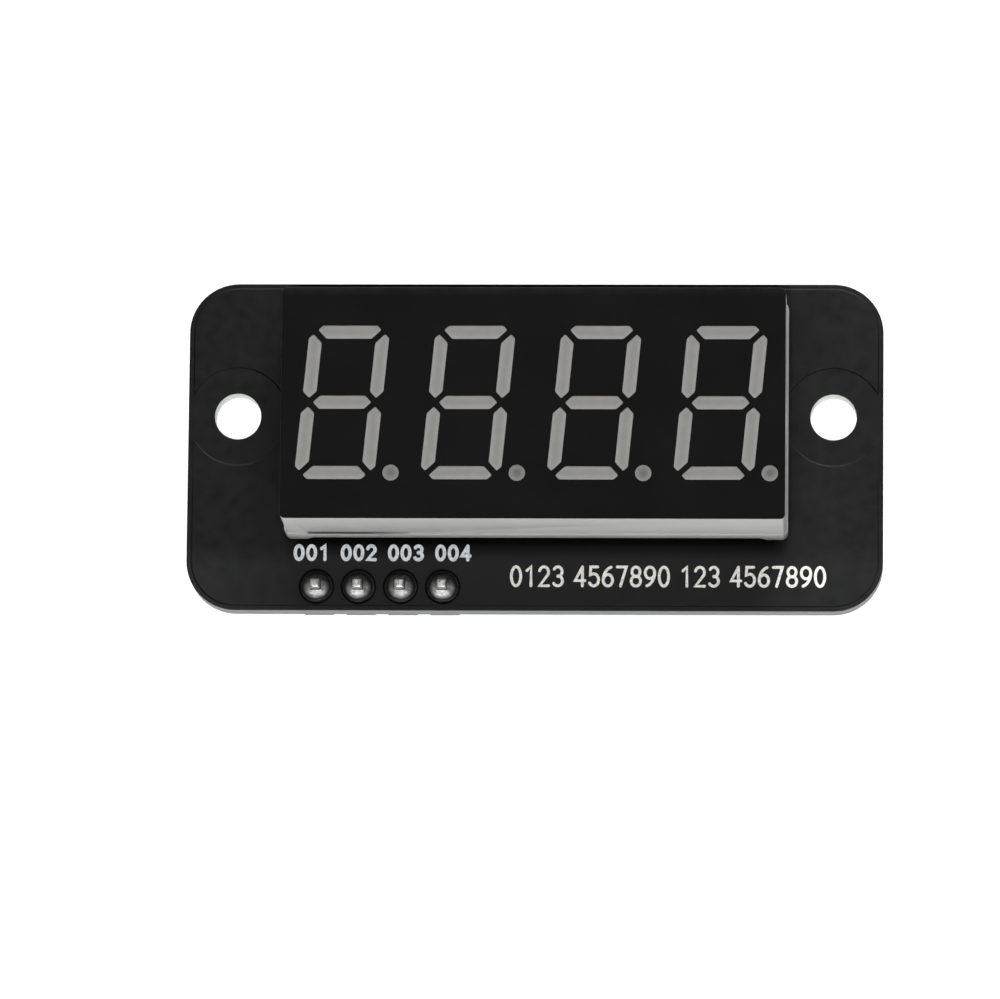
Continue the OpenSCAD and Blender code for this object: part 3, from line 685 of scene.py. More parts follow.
def row_tree():
    tree = bpy.data.node_groups.get("rows_of_pieces")
    if tree:
        return tree
    tree = bpy.data.node_groups.new("rows_of_pieces", "GeometryNodeTree")
    for name, kind, value in (("Piece", "NodeSocketObject", None), ("Finish", "NodeSocketMaterial", None),
                              ("Count", "NodeSocketInt", 1), ("Pitch", "NodeSocketFloat", 2.54 * MM),
                              ("First", "NodeSocketVector", None), ("Second Row", "NodeSocketBool", False),
                              ("Row Gap", "NodeSocketFloat", 0.0), ("Row Turn", "NodeSocketFloat", 0.0),
                              ("Wander", "NodeSocketFloat", 0.0), ("Seed", "NodeSocketInt", 1)):
        socket = tree.interface.new_socket(name=name, in_out="INPUT", socket_type=kind)
        if value is not None:
            socket.default_value = value
    tree.interface.new_socket(name="Geometry", in_out="OUTPUT", socket_type="NodeSocketGeometry")

    def node(kind, **settings):
        made = tree.nodes.new(kind)
        for name, value in settings.items():
            setattr(made, name, value)
        return made

    link = tree.links.new
    given, out = node("NodeGroupInput"), node("NodeGroupOutput")
    step = node("ShaderNodeCombineXYZ")
    link(given.outputs["Pitch"], step.inputs["X"])
    line = node("GeometryNodeMeshLine", mode="OFFSET")
    link(given.outputs["Count"], line.inputs["Count"])
    link(given.outputs["First"], line.inputs["Start Location"])
    link(step.outputs[0], line.inputs["Offset"])
    across = node("ShaderNodeCombineXYZ")
    link(given.outputs["Row Gap"], across.inputs["Y"])
    moved = node("GeometryNodeTransform")
    link(line.outputs["Mesh"], moved.inputs["Geometry"])
    link(across.outputs[0], moved.inputs["Translation"])
    piece_in = node("GeometryNodeObjectInfo")
    link(given.outputs["Piece"], piece_in.inputs["Object"])
    below = node("ShaderNodeMath", operation="MULTIPLY")
    link(given.outputs["Wander"], below.inputs[0])
    below.inputs[1].default_value = -1.0

    def copies(points, turn, offset):
        seed = node("ShaderNodeMath", operation="ADD")
        link(given.outputs["Seed"], seed.inputs[0])
        seed.inputs[1].default_value = offset
        stray = node("FunctionNodeRandomValue", data_type="FLOAT")
        link(below.outputs[0], stray.inputs[2])
        link(given.outputs["Wander"], stray.inputs[3])
        link(seed.outputs[0], stray.inputs["Seed"])
        angle = node("ShaderNodeMath", operation="ADD")
        link(stray.outputs[1], angle.inputs[0])
        if turn:
            link(turn, angle.inputs[1])
        else:
            angle.inputs[1].default_value = 0.0
        spin = node("ShaderNodeCombineXYZ")
        link(angle.outputs[0], spin.inputs["Z"])
        made = node("GeometryNodeInstanceOnPoints")
        link(points, made.inputs["Points"])
        link(piece_in.outputs["Geometry"], made.inputs["Instance"])
        link(spin.outputs[0], made.inputs["Rotation"])
        return made.outputs["Instances"]

    near = copies(line.outputs["Mesh"], None, 0.0)
    far = copies(moved.outputs["Geometry"], given.outputs["Row Turn"], 1.0)
    choose = node("GeometryNodeSwitch", input_type="GEOMETRY")
    link(given.outputs["Second Row"], choose.inputs["Switch"])
    link(far, choose.inputs["True"])
    join = node("GeometryNodeJoinGeometry")
    link(near, join.inputs[0])
    link(choose.outputs[0], join.inputs[0])
    real = node("GeometryNodeRealizeInstances")
    link(join.outputs[0], real.inputs[0])
    paint = node("GeometryNodeSetMaterial")
    link(real.outputs[0], paint.inputs["Geometry"])
    link(given.outputs["Finish"], paint.inputs["Material"])
    link(paint.outputs[0], out.inputs[0])
    return tree


def rows_of(name, pattern, finish, **inputs):
    """A plain mesh of the pattern mesh, repeated by the tree above"""
    tree = row_tree()
    source = object_of(name + "_pattern", pattern)
    made = object_of(name, bpy.data.meshes.new(name))
    modifier = made.modifiers.new("rows", "NODES")
    modifier.node_group = tree
    identifiers = {item.name: item.identifier for item in tree.interface.items_tree if item.in_out == "INPUT"}
    for label, value in {"Piece": source, "Finish": finishes[finish], **inputs}.items():
        modifier[identifiers[label]] = value
    mesh = plain_mesh(made, name)
    bpy.data.objects.remove(source)
    return mesh


# Pieces

def step_profile(top, low, slope):
    """Heights of a soft step that goes down from top to low over a width of slope"""
    shares = (-0.3, 0.0, 0.12, 0.25, 0.38, 0.5, 0.62, 0.75, 0.88, 1.0, 1.3)
    return [(slope * s, low + (top - low) * (0.5 + 0.5 * math.cos(math.pi * min(max(s, 0.0), 1.0)))) for s in shares]


def mask_piece(name, node, face, inner, sizes):
    """A solder mask: level over the copper, and lower along the board's edge and round the mounting holes"""
    copy = cad_copy(node)
    away = 1.0 if face > inner else -1.0
    levels = sorted({round(vert.co.z, 7) for vert in copy.verts}, key=lambda z: -z * away)
    top, low = levels[0], levels[1]
    outer, *holes = rim_loops(copy, low)
    copper, *openings = rim_loops(copy, top)
    holes = [loop for loop in holes if spread(loop) < 0.5 * spread(copper)]
    copy.free()
    mesh = bmesh.new()
    painted_edge_shade = mesh.verts.layers.float.new("step")
    lip = sizes.mask_lip
    edge = [(0.0, inner), (0.0, low - away * 0.5 * (low - inner) * away), (-0.25 * lip, low - away * 0.12 * lip),
            (-lip, low), (-1.3 * lip, low)]
    board_rings = stack(mesh, outer, edge)
    hole_rings = [stack(mesh, loop, [(-growth, height) for growth, height in edge]) for loop in holes]
    steps = step_profile(top, low, sizes.mask_slope)
    slope = stack(mesh, copper, steps)
    # The step attribute is painted shade: each slope is darker in its middle, and darker still where it faces away
    # from the light at the back right
    downhill = [(there - here).normalized() for here, there in zip(copper, grown(copper, MM))]
    for (growth, _), verts in zip(steps, slope):
        middle = math.sin(math.pi * min(max(growth / sizes.mask_slope, 0.0), 1.0))
        for vert, way in zip(verts, downhill):
            vert[painted_edge_shade] = middle * (0.4 + 0.6 * max(0.0, -way.dot(Vector((0.45, 0.89)))))
    lift = 0.3 * (top - inner)
    opening_rings = [stack(mesh, loop, [(0.0, inner), (0.0, top - lift), (0.01 * MM, top - 0.3 * lift),
                                        (0.035 * MM, top), (0.09 * MM, top), (0.15 * MM, top)])
                     for loop in openings]
    # The lips of the openings round the pads get the full painted shade, a dark ring round each joint
    for vert in [vert for rings in opening_rings for verts in rings[:-1] for vert in verts]:
        vert[painted_edge_shade] = 1.0
    sheet_between(mesh, [board_rings[-1], slope[-1]] + [rings[-1] for rings in hole_rings])
    sheet_between(mesh, [slope[0]] + [rings[-1] for rings in opening_rings])
    sheet_between(mesh, [board_rings[0]] + [rings[0] for rings in hole_rings + opening_rings])
    return piece(name, outward(mesh), "solder_mask", [node], sharp=60.0)


def film_piece(name, node, sizes):
    """The black face, rounded along its edge and at each window"""
    low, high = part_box(node)
    copy = cad_copy(node)
    outer, *openings = rim_loops(copy, high.z)
    copy.free()
    thick = high.z - low.z
    reach = sizes.film_round
    mesh = bmesh.new()
    curve = [(-reach * (1 - math.cos(a)), low.z + thick * (0.25 + 0.75 * math.sin(a)))
             for a in (math.radians(90) * k / 6 for k in range(7))]
    rim = stack(mesh, outer, [(0.0, low.z)] + curve + [(-1.3 * reach, high.z)])
    lip = sizes.film_lip
    inner = [stack(mesh, loop, [(0.0, low.z), (0.0, high.z - lip), (0.3 * lip, high.z - 0.3 * lip), (lip, high.z),
                                (1.5 * lip, high.z)]) for loop in openings]
    sheet_between(mesh, [rim[-1]] + [rings[-1] for rings in inner])
    sheet_between(mesh, [rim[0]] + [rings[0] for rings in inner])
    return piece(name, outward(mesh), "black_face", [node], sharp=50.0)


def spine_of(points):
    """The middle line of a long outline: its two ends, both half its width inside the tips"""
    first, second = max(((a, b) for a in points for b in points), key=lambda pair: (pair[0] - pair[1]).length)
    along = (second - first).normalized()
    across = Vector((-along.y, along.x))
    spans = [(min(p.dot(axis) for p in points), max(p.dot(axis) for p in points)) for axis in (along, across)]
    half = (spans[1][1] - spans[1][0]) / 2
    middle = across * (spans[1][1] + spans[1][0]) / 2
    start, end = spans[0][0] + half, spans[0][1] - half
    if end < start:
        start = end = (start + end) / 2
    return along * start + middle, along * end + middle


def nearest_on(line, point):
    start, end = line
    along = end - start
    if along.length_squared < 1e-14:
        return start
    return start + along * max(0.0, min(1.0, (point - start).dot(along) / along.length_squared))


def window_piece(name, node, sizes, face):
    """Resin in its well, with a hollow skin and the depth of each point kept for its finish"""
    low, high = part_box(node)
    copy = cad_copy(node)
    outline = rim_loops(copy, high.z)[0]
    copy.free()
    top = face - sizes.resin_below
    line = spine_of(outline)
    mesh = bmesh.new()
    depth = mesh.verts.layers.float.new("depth")
    rings = stack(mesh, outline, [(0.0, low.z + 0.25 * MM), (0.0, top)])
    for share in (0.05, 0.12, 0.22, 0.35, 0.5, 0.68, 0.86):
        sink = sizes.sag * (1.0 - (1.0 - share) ** 2)
        made = [mesh.verts.new((*p.lerp(nearest_on(line, p), share), top - sink)) for p in outline]
        for vert in made:
            vert[depth] = share
        wall(mesh, rings[-1], made)
        rings.append(made)
    mesh.faces.new(rings[-1])
    mesh.faces.new(rings[0][::-1])
    finish = "point_resin" if node.endswith("point") else "window_resin"
    return piece(name, outward(mesh), "window_resin", [node], finish, 50.0)


def shell_piece(name, node, sizes):
    """The housing, with its outer edges rounded"""
    low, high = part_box(node)
    middle, half = (low + high) / 2, (high - low) / 2
    inside = 0.7 * MM

    def outer(edge):
        return all(abs(v.co.x - middle.x) > half.x - inside or abs(v.co.y - middle.y) > half.y - inside
                   for v in edge.verts)

    mesh = rounded(flattened(cad_copy(node)), sizes.shell_round, 2, 30.0, outer)
    return piece(name, mesh, "white_housing", [node])


def rounded_piece(name, node, slot, radius, segments=2, sharp=40.0):
    return piece(name, rounded(flattened(cad_copy(node)), radius, segments), slot, [node], sharp=sharp)


def square_reach(angle, half, corner):
    """Distance from the middle of a square pin to its side in that direction, with soft corners"""
    return min(half / max(abs(math.cos(angle)), abs(math.sin(angle)), 1e-6), half * corner)


def solder_joint(rng, pad, height, pin, square, barrel, wander):
    """One joint as a bmesh round the axis: a barrel in the hole and a hollow cone that climbs the pin.
    Heights are from the pad, and the barrel reaches down by its second number."""
    lean_to, lean = rng.uniform(0, math.tau), rng.uniform(0.3, 1.0) * wander
    lift_to, lift = rng.uniform(0, math.tau), rng.uniform(0.05, 0.16)
    offset = Vector((rng.uniform(-9, 9), rng.uniform(-9, 9), rng.uniform(-9, 9)))
    hollow = rng.uniform(1.05, 1.3)
    curve = []
    steps = 18
    for k in range(steps + 1):
        s = k / steps
        climb = max(0.0, (s - 0.14) / 0.86) ** hollow
        curve.append((1.0 - s, 0.012 + 0.05 * s + 0.938 * climb))
    profile = [(0.0, -barrel[1]), (barrel[0], -barrel[1]), (barrel[0], -0.02 * MM)]
    profile += [(2.0 + share, climb) for share, climb in curve]
    profile += [(5.0, 1.0), (0.0, height * 0.8)]

    def stray(place, angle):
        radius = math.hypot(place.x, place.y)
        if radius < 1.0:
            return place
        reach = square_reach(angle, pin, 1.28) if square else pin
        out = Vector((math.cos(angle), math.sin(angle), 0.0))
        if radius > 4.0:  # the end ring lies inside the pin
            return out * (reach * 0.9) + Vector((0.0, 0.0, height * 0.94))
        share, climb = radius - 2.0, place.z
        wide = reach + 0.012 * MM + (pad - reach) * share
        middle = 4.0 * share * (1.0 - share)
        wide += middle * lean * math.cos(angle - lean_to)
        wide += middle * wander * 0.8 * noise.noise(offset + out * 1.4 + Vector((0.0, 0.0, climb * 1.2)))
        rise = height * climb * (1.0 + climb * lift * math.cos(angle - lift_to))
        rise += middle * wander * 0.5 * noise.noise(offset * 2.0 + out * 2.3)
        return out * min(wide, pad) + Vector((0.0, 0.0, max(rise, 0.0)))

    return turned(profile, 56, stray)


def joined(meshes):
    """One bmesh of several, each with the place that it is moved to"""
    made = bmesh.new()
    for mesh, place in meshes:
        bmesh.ops.translate(mesh, verts=mesh.verts[:], vec=place)
        part = bpy.data.meshes.new("part")
        mesh.to_mesh(part)
        mesh.free()
        made.from_mesh(part)
        bpy.data.meshes.remove(part)
    return made


def ribbon(mesh, path, width, low, high):
    """A flat strip with round ends along a path of (x, y) points, or a closed one where its ends meet"""
    half = width / 2
    closed = (path[0] - path[-1]).length < 0.01 * width
    path = path[:-1] if closed else path
    count = len(path)
    stations = []
    for i, here in enumerate(path):
        before = here - path[i - 1] if i or closed else path[1] - here
        after = path[(i + 1) % count] - here if i < count - 1 or closed else before
        first, second = before.normalized(), after.normalized()
        normal = Vector((-first.y - second.y, first.x + second.x)).normalized()
        stations.append((here, normal, half / max(0.6, normal.dot(Vector((-first.y, first.x))))))
    if not closed:
        angles = [math.radians(a) for a in (20, 40, 60, 80)]
        for end, side in ((0, -1), (-1, 1)):
            here, normal, _ = stations[end]
            along = Vector((normal.y, -normal.x)) * side
            tip = [(here + along * half * math.sin(a), normal, half * math.cos(a)) for a in angles]
            stations = stations + tip if side > 0 else tip[::-1] + stations
    rows = [[mesh.verts.new((*(here + normal * reach * side), level))
             for side, level in ((-1, low), (-1, high), (1, high), (1, low))] for here, normal, reach in stations]
    for first, second in zip(rows, rows[1:] + (rows[:1] if closed else [])):
        wall(mesh, first, second)
    if not closed:
        mesh.faces.new(rows[0])
        mesh.faces.new(rows[-1][::-1])


def arc(x, y, across, up, start, end):
    """Points of an arc of an ellipse between two angles in degrees"""
    steps = max(3, round(abs(end - start) / 12))
    angles = [math.radians(start + (end - start) * k / steps) for k in range(steps + 1)]
    return [Vector((x + across * math.cos(a), y + up * math.sin(a))) for a in angles]


def strokes(character):
    """Centre lines of a plain digit, one unit high and 0.56 wide"""
    def line(*places):
        return [Vector(place) for place in places]

    return {
        "0": [arc(0.28, 0.5, 0.28, 0.5, 90, 450)],
        "1": [line((0.1, 0.8), (0.34, 1.0), (0.34, 0.0))],
        "2": [arc(0.28, 0.72, 0.27, 0.28, 165, -30) + line((0.02, 0.0), (0.56, 0.0))],
        "3": [arc(0.27, 0.75, 0.25, 0.25, 150, -90), arc(0.27, 0.26, 0.28, 0.26, 90, -150)],
        "4": [line((0.43, 0.0), (0.43, 1.0)), line((0.43, 1.0), (0.0, 0.28), (0.58, 0.28))],
        "5": [line((0.5, 1.0), (0.09, 1.0), (0.06, 0.58)) + arc(0.27, 0.32, 0.29, 0.32, 118, -150)],
        "6": [arc(0.28, 0.3, 0.28, 0.3, 0, 360), arc(0.62, 0.31, 0.62, 0.7, 180, 105)],
        "7": [line((0.0, 1.0), (0.54, 1.0), (0.2, 0.0))],
        "8": [arc(0.28, 0.75, 0.24, 0.25, 0, 360), arc(0.28, 0.26, 0.28, 0.26, 0, 360)],
        "9": [arc(0.28, 0.7, 0.28, 0.3, 0, 360), arc(-0.06, 0.69, 0.62, 0.7, 0, -75)],
    }[character]


def digits_on(mesh, text, height, weight, wide, middle, level, ink):
    """A line of digits printed on a level, centred on a point. Weight is a stroke's width over their height,
    and wide stretches them along the line."""
    width = height * weight
    unit = height - width
    step, gap = 0.56 * wide * unit + width + 0.08 * height, 0.36 * height
    long = sum(gap if character == " " else step for character in text) - 0.08 * height
    pen = middle - Vector((long / 2 - width / 2, unit / 2))
    count = 0
    for character in text:
        if character == " ":
            pen.x += gap
            continue
        for path in strokes(character):
            ribbon(mesh, [pen + Vector((p.x * wide, p.y)) * unit for p in path], width, level,
                   level + ink - count % 3 * 0.0004 * MM)
            count += 1
        pen.x += step


def lettering(name, text, height, weight, wide, middle, level, ink, finish):
    mesh = bmesh.new()
    digits_on(mesh, text, height, weight, wide, middle, level, ink)
    return piece(name, outward(mesh), "solder_mask", finish=finish, sharp=50.0)


def rectangle(mesh, corner, opposite, width, low, high):
    """An outline with round corners"""
    turn = 0.2 * MM
    (x0, y0), (x1, y1) = corner, opposite
    path = arc(x1 - turn, y1 - turn, turn, turn, 0, 90) + arc(x0 + turn, y1 - turn, turn, turn, 90, 180)
    path += arc(x0 + turn, y0 + turn, turn, turn, 180, 270) + arc(x1 - turn, y0 + turn, turn, turn, 270, 360)
    ribbon(mesh, path + path[:1], width, low, high)


def centre_of(node):
    low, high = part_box(node)
    return (low + high) / 2


# Operators

class MakeFinishes(bpy.types.Operator):
    """Builds every material from the panel's colours"""
    bl_idname = "display_module.make_finishes"
    bl_label = "Finishes"

    def execute(self, context):
        make_finishes(context.scene.module_colours)
        return {"FINISHED"}


class MakeBoard(bpy.types.Operator):
    """Makes the circuit board's masks and gives the laminate and the pads their finish"""
    bl_idname = "display_module.make_board"
    bl_label = "Circuit board"

    def execute(self, context):
        sizes = context.scene.module_sizes
        low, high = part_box("front_solder_mask")
        mask_piece("front_mask", "front_solder_mask", high.z, low.z, sizes)
        low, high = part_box("rear_solder_mask")
        mask_piece("rear_mask", "rear_solder_mask", low.z, high.z, sizes)
        dressed("circuit_board", "laminate")
        for node in ("header_pads", "display_pads", "small_part_pads"):
            dressed(node, "tinned_copper")
        return {"FINISHED"}


class MakeHousing(bpy.types.Operator):
    """Makes the display's white housing and what is sealed inside it"""
    bl_idname = "display_module.make_housing"
    bl_label = "Display housing"

    def execute(self, context):
        shell_piece("housing_shell", "display_housing", context.scene.module_sizes)
        dressed("inner_board", "inner_board")
        dressed("light_dies", "light_die")
        dressed("potting", "potting_resin")
        return {"FINISHED"}


class MakeFace(bpy.types.Operator):
    """Makes the black face with its openings"""
    bl_idname = "display_module.make_face"
    bl_label = "Black face"

    def execute(self, context):
        film_piece("face_film", "display_face", context.scene.module_sizes)
        return {"FINISHED"}


class MakeWindows(bpy.types.Operator):
    """Makes the resin window of every segment and point"""
    bl_idname = "display_module.make_windows"
    bl_label = "Segment windows"

    def execute(self, context):
        sizes = context.scene.module_sizes
        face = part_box("display_face")[1].z
        for digit in DIGITS:
            for letter in LETTERS:
                window_piece(f"window_{digit}{letter}", f"digit_{digit}_segment_{letter}", sizes, face)
            window_piece(f"window_{digit}_point", f"digit_{digit}_point", sizes, face)
        return {"FINISHED"}


class MakeDisplayPins(bpy.types.Operator):
    """Makes the display's pins and their solder joints on the rear"""
    bl_idname = "display_module.make_display_pins"
    bl_label = "Display pins"

    def execute(self, context):
        sizes = context.scene.module_sizes
        low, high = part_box("display_pins")
        radius = 0.25 * MM
        count = 6
        pitch = (high.x - low.x - 2 * radius) / (count - 1)
        row_gap = high.y - low.y - 2 * radius
        first = Vector((low.x + radius, low.y + radius, 0.0))
        cut = 0.05 * MM
        pin = turned([(0.0, low.z + 0.02 * MM), (radius * 0.55, low.z + 0.006 * MM), (radius - cut, low.z),
                      (radius - 0.3 * cut, low.z + 0.3 * cut), (radius, low.z + cut), (radius, high.z), (0.0, high.z)],
                     28)
        rows = {"Count": count, "Pitch": pitch, "First": first, "Second Row": True, "Row Gap": row_gap}
        mesh = rows_of("display_pin_rows", mesh_of("pin", pin), "pin_metal", **rows)
        piece("display_pin_rows", mesh, "pin_metal", ["display_pins"])

        rng = random.Random(sizes.solder_seed)
        low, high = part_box("display_solder")
        pad = (high.x - low.x - (count - 1) * pitch) / 2 + 0.09 * MM
        joint = solder_joint(rng, pad, -low.z, radius, False, (radius + 0.19 * MM, high.z), sizes.solder_wander * 0.6)
        bmesh.ops.rotate(joint, verts=joint.verts[:], matrix=Matrix.Rotation(math.pi, 3, "X"))
        rows.update({"Wander": math.pi, "Seed": sizes.solder_seed, "Row Turn": 1.0})
        mesh = rows_of("display_joints", mesh_of("joint", joint, 60.0), "solder", **rows)
        piece("display_joints", mesh, "solder", ["display_solder"])
        return {"FINISHED"}


class MakeHeader(bpy.types.Operator):
    """Makes the pin header: its body behind the board, its four pins and their joints on the front"""
    bl_idname = "display_module.make_header"
    bl_label = "Pin header"

    def execute(self, context):
        sizes = context.scene.module_sizes
        nodes = [f"header_pin_{i}" for i in (1, 2, 3, 4)]
        boxes = [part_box(node) for node in nodes]
        places = [(low + high) / 2 for low, high in boxes]
        pitch = places[1].x - places[0].x
        pin = rounded(flattened(cad_copy(nodes[0])), sizes.pin_round, 2)
        first = Vector((places[0].x, places[0].y, 0.0))
        bmesh.ops.translate(pin, verts=pin.verts[:], vec=-first)
        mesh = rows_of("header_pins", mesh_of("pin", pin), "pin_metal", Count=4, Pitch=pitch, First=first)
        piece("header_pins", mesh, "pin_metal", nodes)
        rounded_piece("header_block", "header_body", "header_plastic", sizes.moulding_round)

        low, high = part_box("header_solder")
        pad = (high.y - low.y) / 2 + 0.09 * MM
        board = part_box("front_solder_mask")[1].z
        pin_half = (boxes[0][1].x - boxes[0][0].x) / 2
        rng = random.Random(sizes.solder_seed)
        joints = []
        for place in places:
            height = (high.z - board) * rng.uniform(0.86, 1.0) / 1.16
            joint = solder_joint(rng, pad, height, pin_half, True, (pad - 0.36 * MM, board - low.z),
                                 sizes.solder_wander)
            joints.append((joint, Vector((place.x, place.y, board))))
        piece("header_joints", joined(joints), "solder", ["header_solder"], sharp=60.0)
        return {"FINISHED"}


class MakeDriver(bpy.types.Operator):
    """Makes the driver chip on the rear, with its leads"""
    bl_idname = "display_module.make_driver"
    bl_label = "Driver chip"

    def execute(self, context):
        sizes = context.scene.module_sizes
        rounded_piece("chip_body", "driver_chip", "chip_moulding", sizes.moulding_round)
        low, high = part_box("chip_leads")
        chip_low, chip_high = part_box("driver_chip")
        width, thick, foot, count = 0.4 * MM, 0.2 * MM, 0.5 * MM, 8
        middle = (low.y + high.y) / 2
        reach = (high.y - low.y) / 2
        shoulder = -low.z - thick / 2
        inner = (chip_high.y - chip_low.y) / 2 - 0.3 * MM
        knee = reach - foot - 0.28 * MM
        bend = 0.14 * MM
        path = [Vector((inner, shoulder)), Vector((knee - bend, shoulder))]
        slope = (Vector((reach - foot + 0.02 * MM, thick / 2)) - Vector((knee, shoulder))).normalized()
        for k in range(1, 6):
            s = k / 6
            path.append(Vector((knee - bend, shoulder)).lerp(Vector((knee, shoulder)), s).lerp(
                Vector((knee, shoulder)).lerp(Vector((knee, shoulder)) + slope * bend, s), s))
        heel = Vector((reach - foot + 0.02 * MM, thick / 2))
        for k in range(0, 7):
            s = k / 6
            path.append((heel - slope * bend).lerp(heel, s).lerp(heel.lerp(heel + Vector((bend, 0.0)), s), s))
        path.append(Vector((reach - 0.01 * MM, thick / 2)))
        lead = bmesh.new()
        rings = []
        for i, here in enumerate(path):
            along = (path[min(i + 1, len(path) - 1)] - path[max(i - 1, 0)]).normalized()
            normal = Vector((-along.y, along.x)) * thick / 2
            corners = ((-1, -1), (1, -1), (1, 1), (-1, 1))
            rings.append([lead.verts.new((side * width / 2, here.x + normal.x * face, -(here.y + normal.y * face)))
                          for side, face in corners])
        for first, second in zip(rings, rings[1:]):
            wall(lead, first, second)
        lead.faces.new(rings[0])
        lead.faces.new(rings[-1][::-1])
        outward(lead)
        rounded(lead, sizes.lead_round, 2, 50.0)
        bmesh.ops.rotate(lead, verts=lead.verts[:], matrix=Matrix.Rotation(math.pi, 3, "Z"))
        pitch = (high.x - low.x - width) / (count - 1)
        first = Vector((low.x + width / 2, middle, 0.0))
        mesh = rows_of("chip_lead_rows", mesh_of("lead", lead), "lead_metal", Count=count, Pitch=pitch, First=first,
                       **{"Second Row": True, "Row Turn": math.pi})
        piece("chip_lead_rows", mesh, "lead_metal", ["chip_leads"])
        dressed("small_solder", "solder")
        return {"FINISHED"}


class MakeSmallParts(bpy.types.Operator):
    """Makes the capacitors and resistors on the rear, with their caps"""
    bl_idname = "display_module.make_small_parts"
    bl_label = "Small parts"

    def execute(self, context):
        sizes = context.scene.module_sizes
        for node in ("supply_capacitor", "filter_capacitor"):
            rounded_piece(node + "_body", node, "capacitor_ceramic", sizes.part_round)
        for node in ("clock_resistor", "data_resistor"):
            rounded_piece(node + "_body", node, "resistor_body", sizes.part_round * 0.6)
        rounded_piece("part_caps", "end_caps", "lead_metal", sizes.part_round)
        return {"FINISHED"}


class MakePrint(bpy.types.Operator):
    """Prints plain numbers over the pins and beside them"""
    bl_idname = "display_module.make_print"
    bl_label = "Printed numbers"

    def execute(self, context):
        sizes = context.scene.module_sizes
        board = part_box("front_solder_mask")[1].z - 0.001 * MM
        low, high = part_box("header_solder")
        header = (low.y + high.y) / 2
        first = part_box("header_pin_1")[0].x
        for number in range(4):
            place = Vector((first + (0.01 + 2.85 * number) * MM, header + 2.06 * MM))
            lettering(f"pin_number_{number + 1}", f"00{number + 1}", sizes.pin_number_height, 0.2, 1.0, place, board,
                      sizes.ink_height, "ink")
        place = Vector((8.07 * MM, header + 0.65 * MM))
        lettering("row_numbers", sizes.row_numbers, sizes.row_number_height, 0.13, 0.87, place, board,
                  sizes.ink_height, "row_ink")
        return {"FINISHED"}


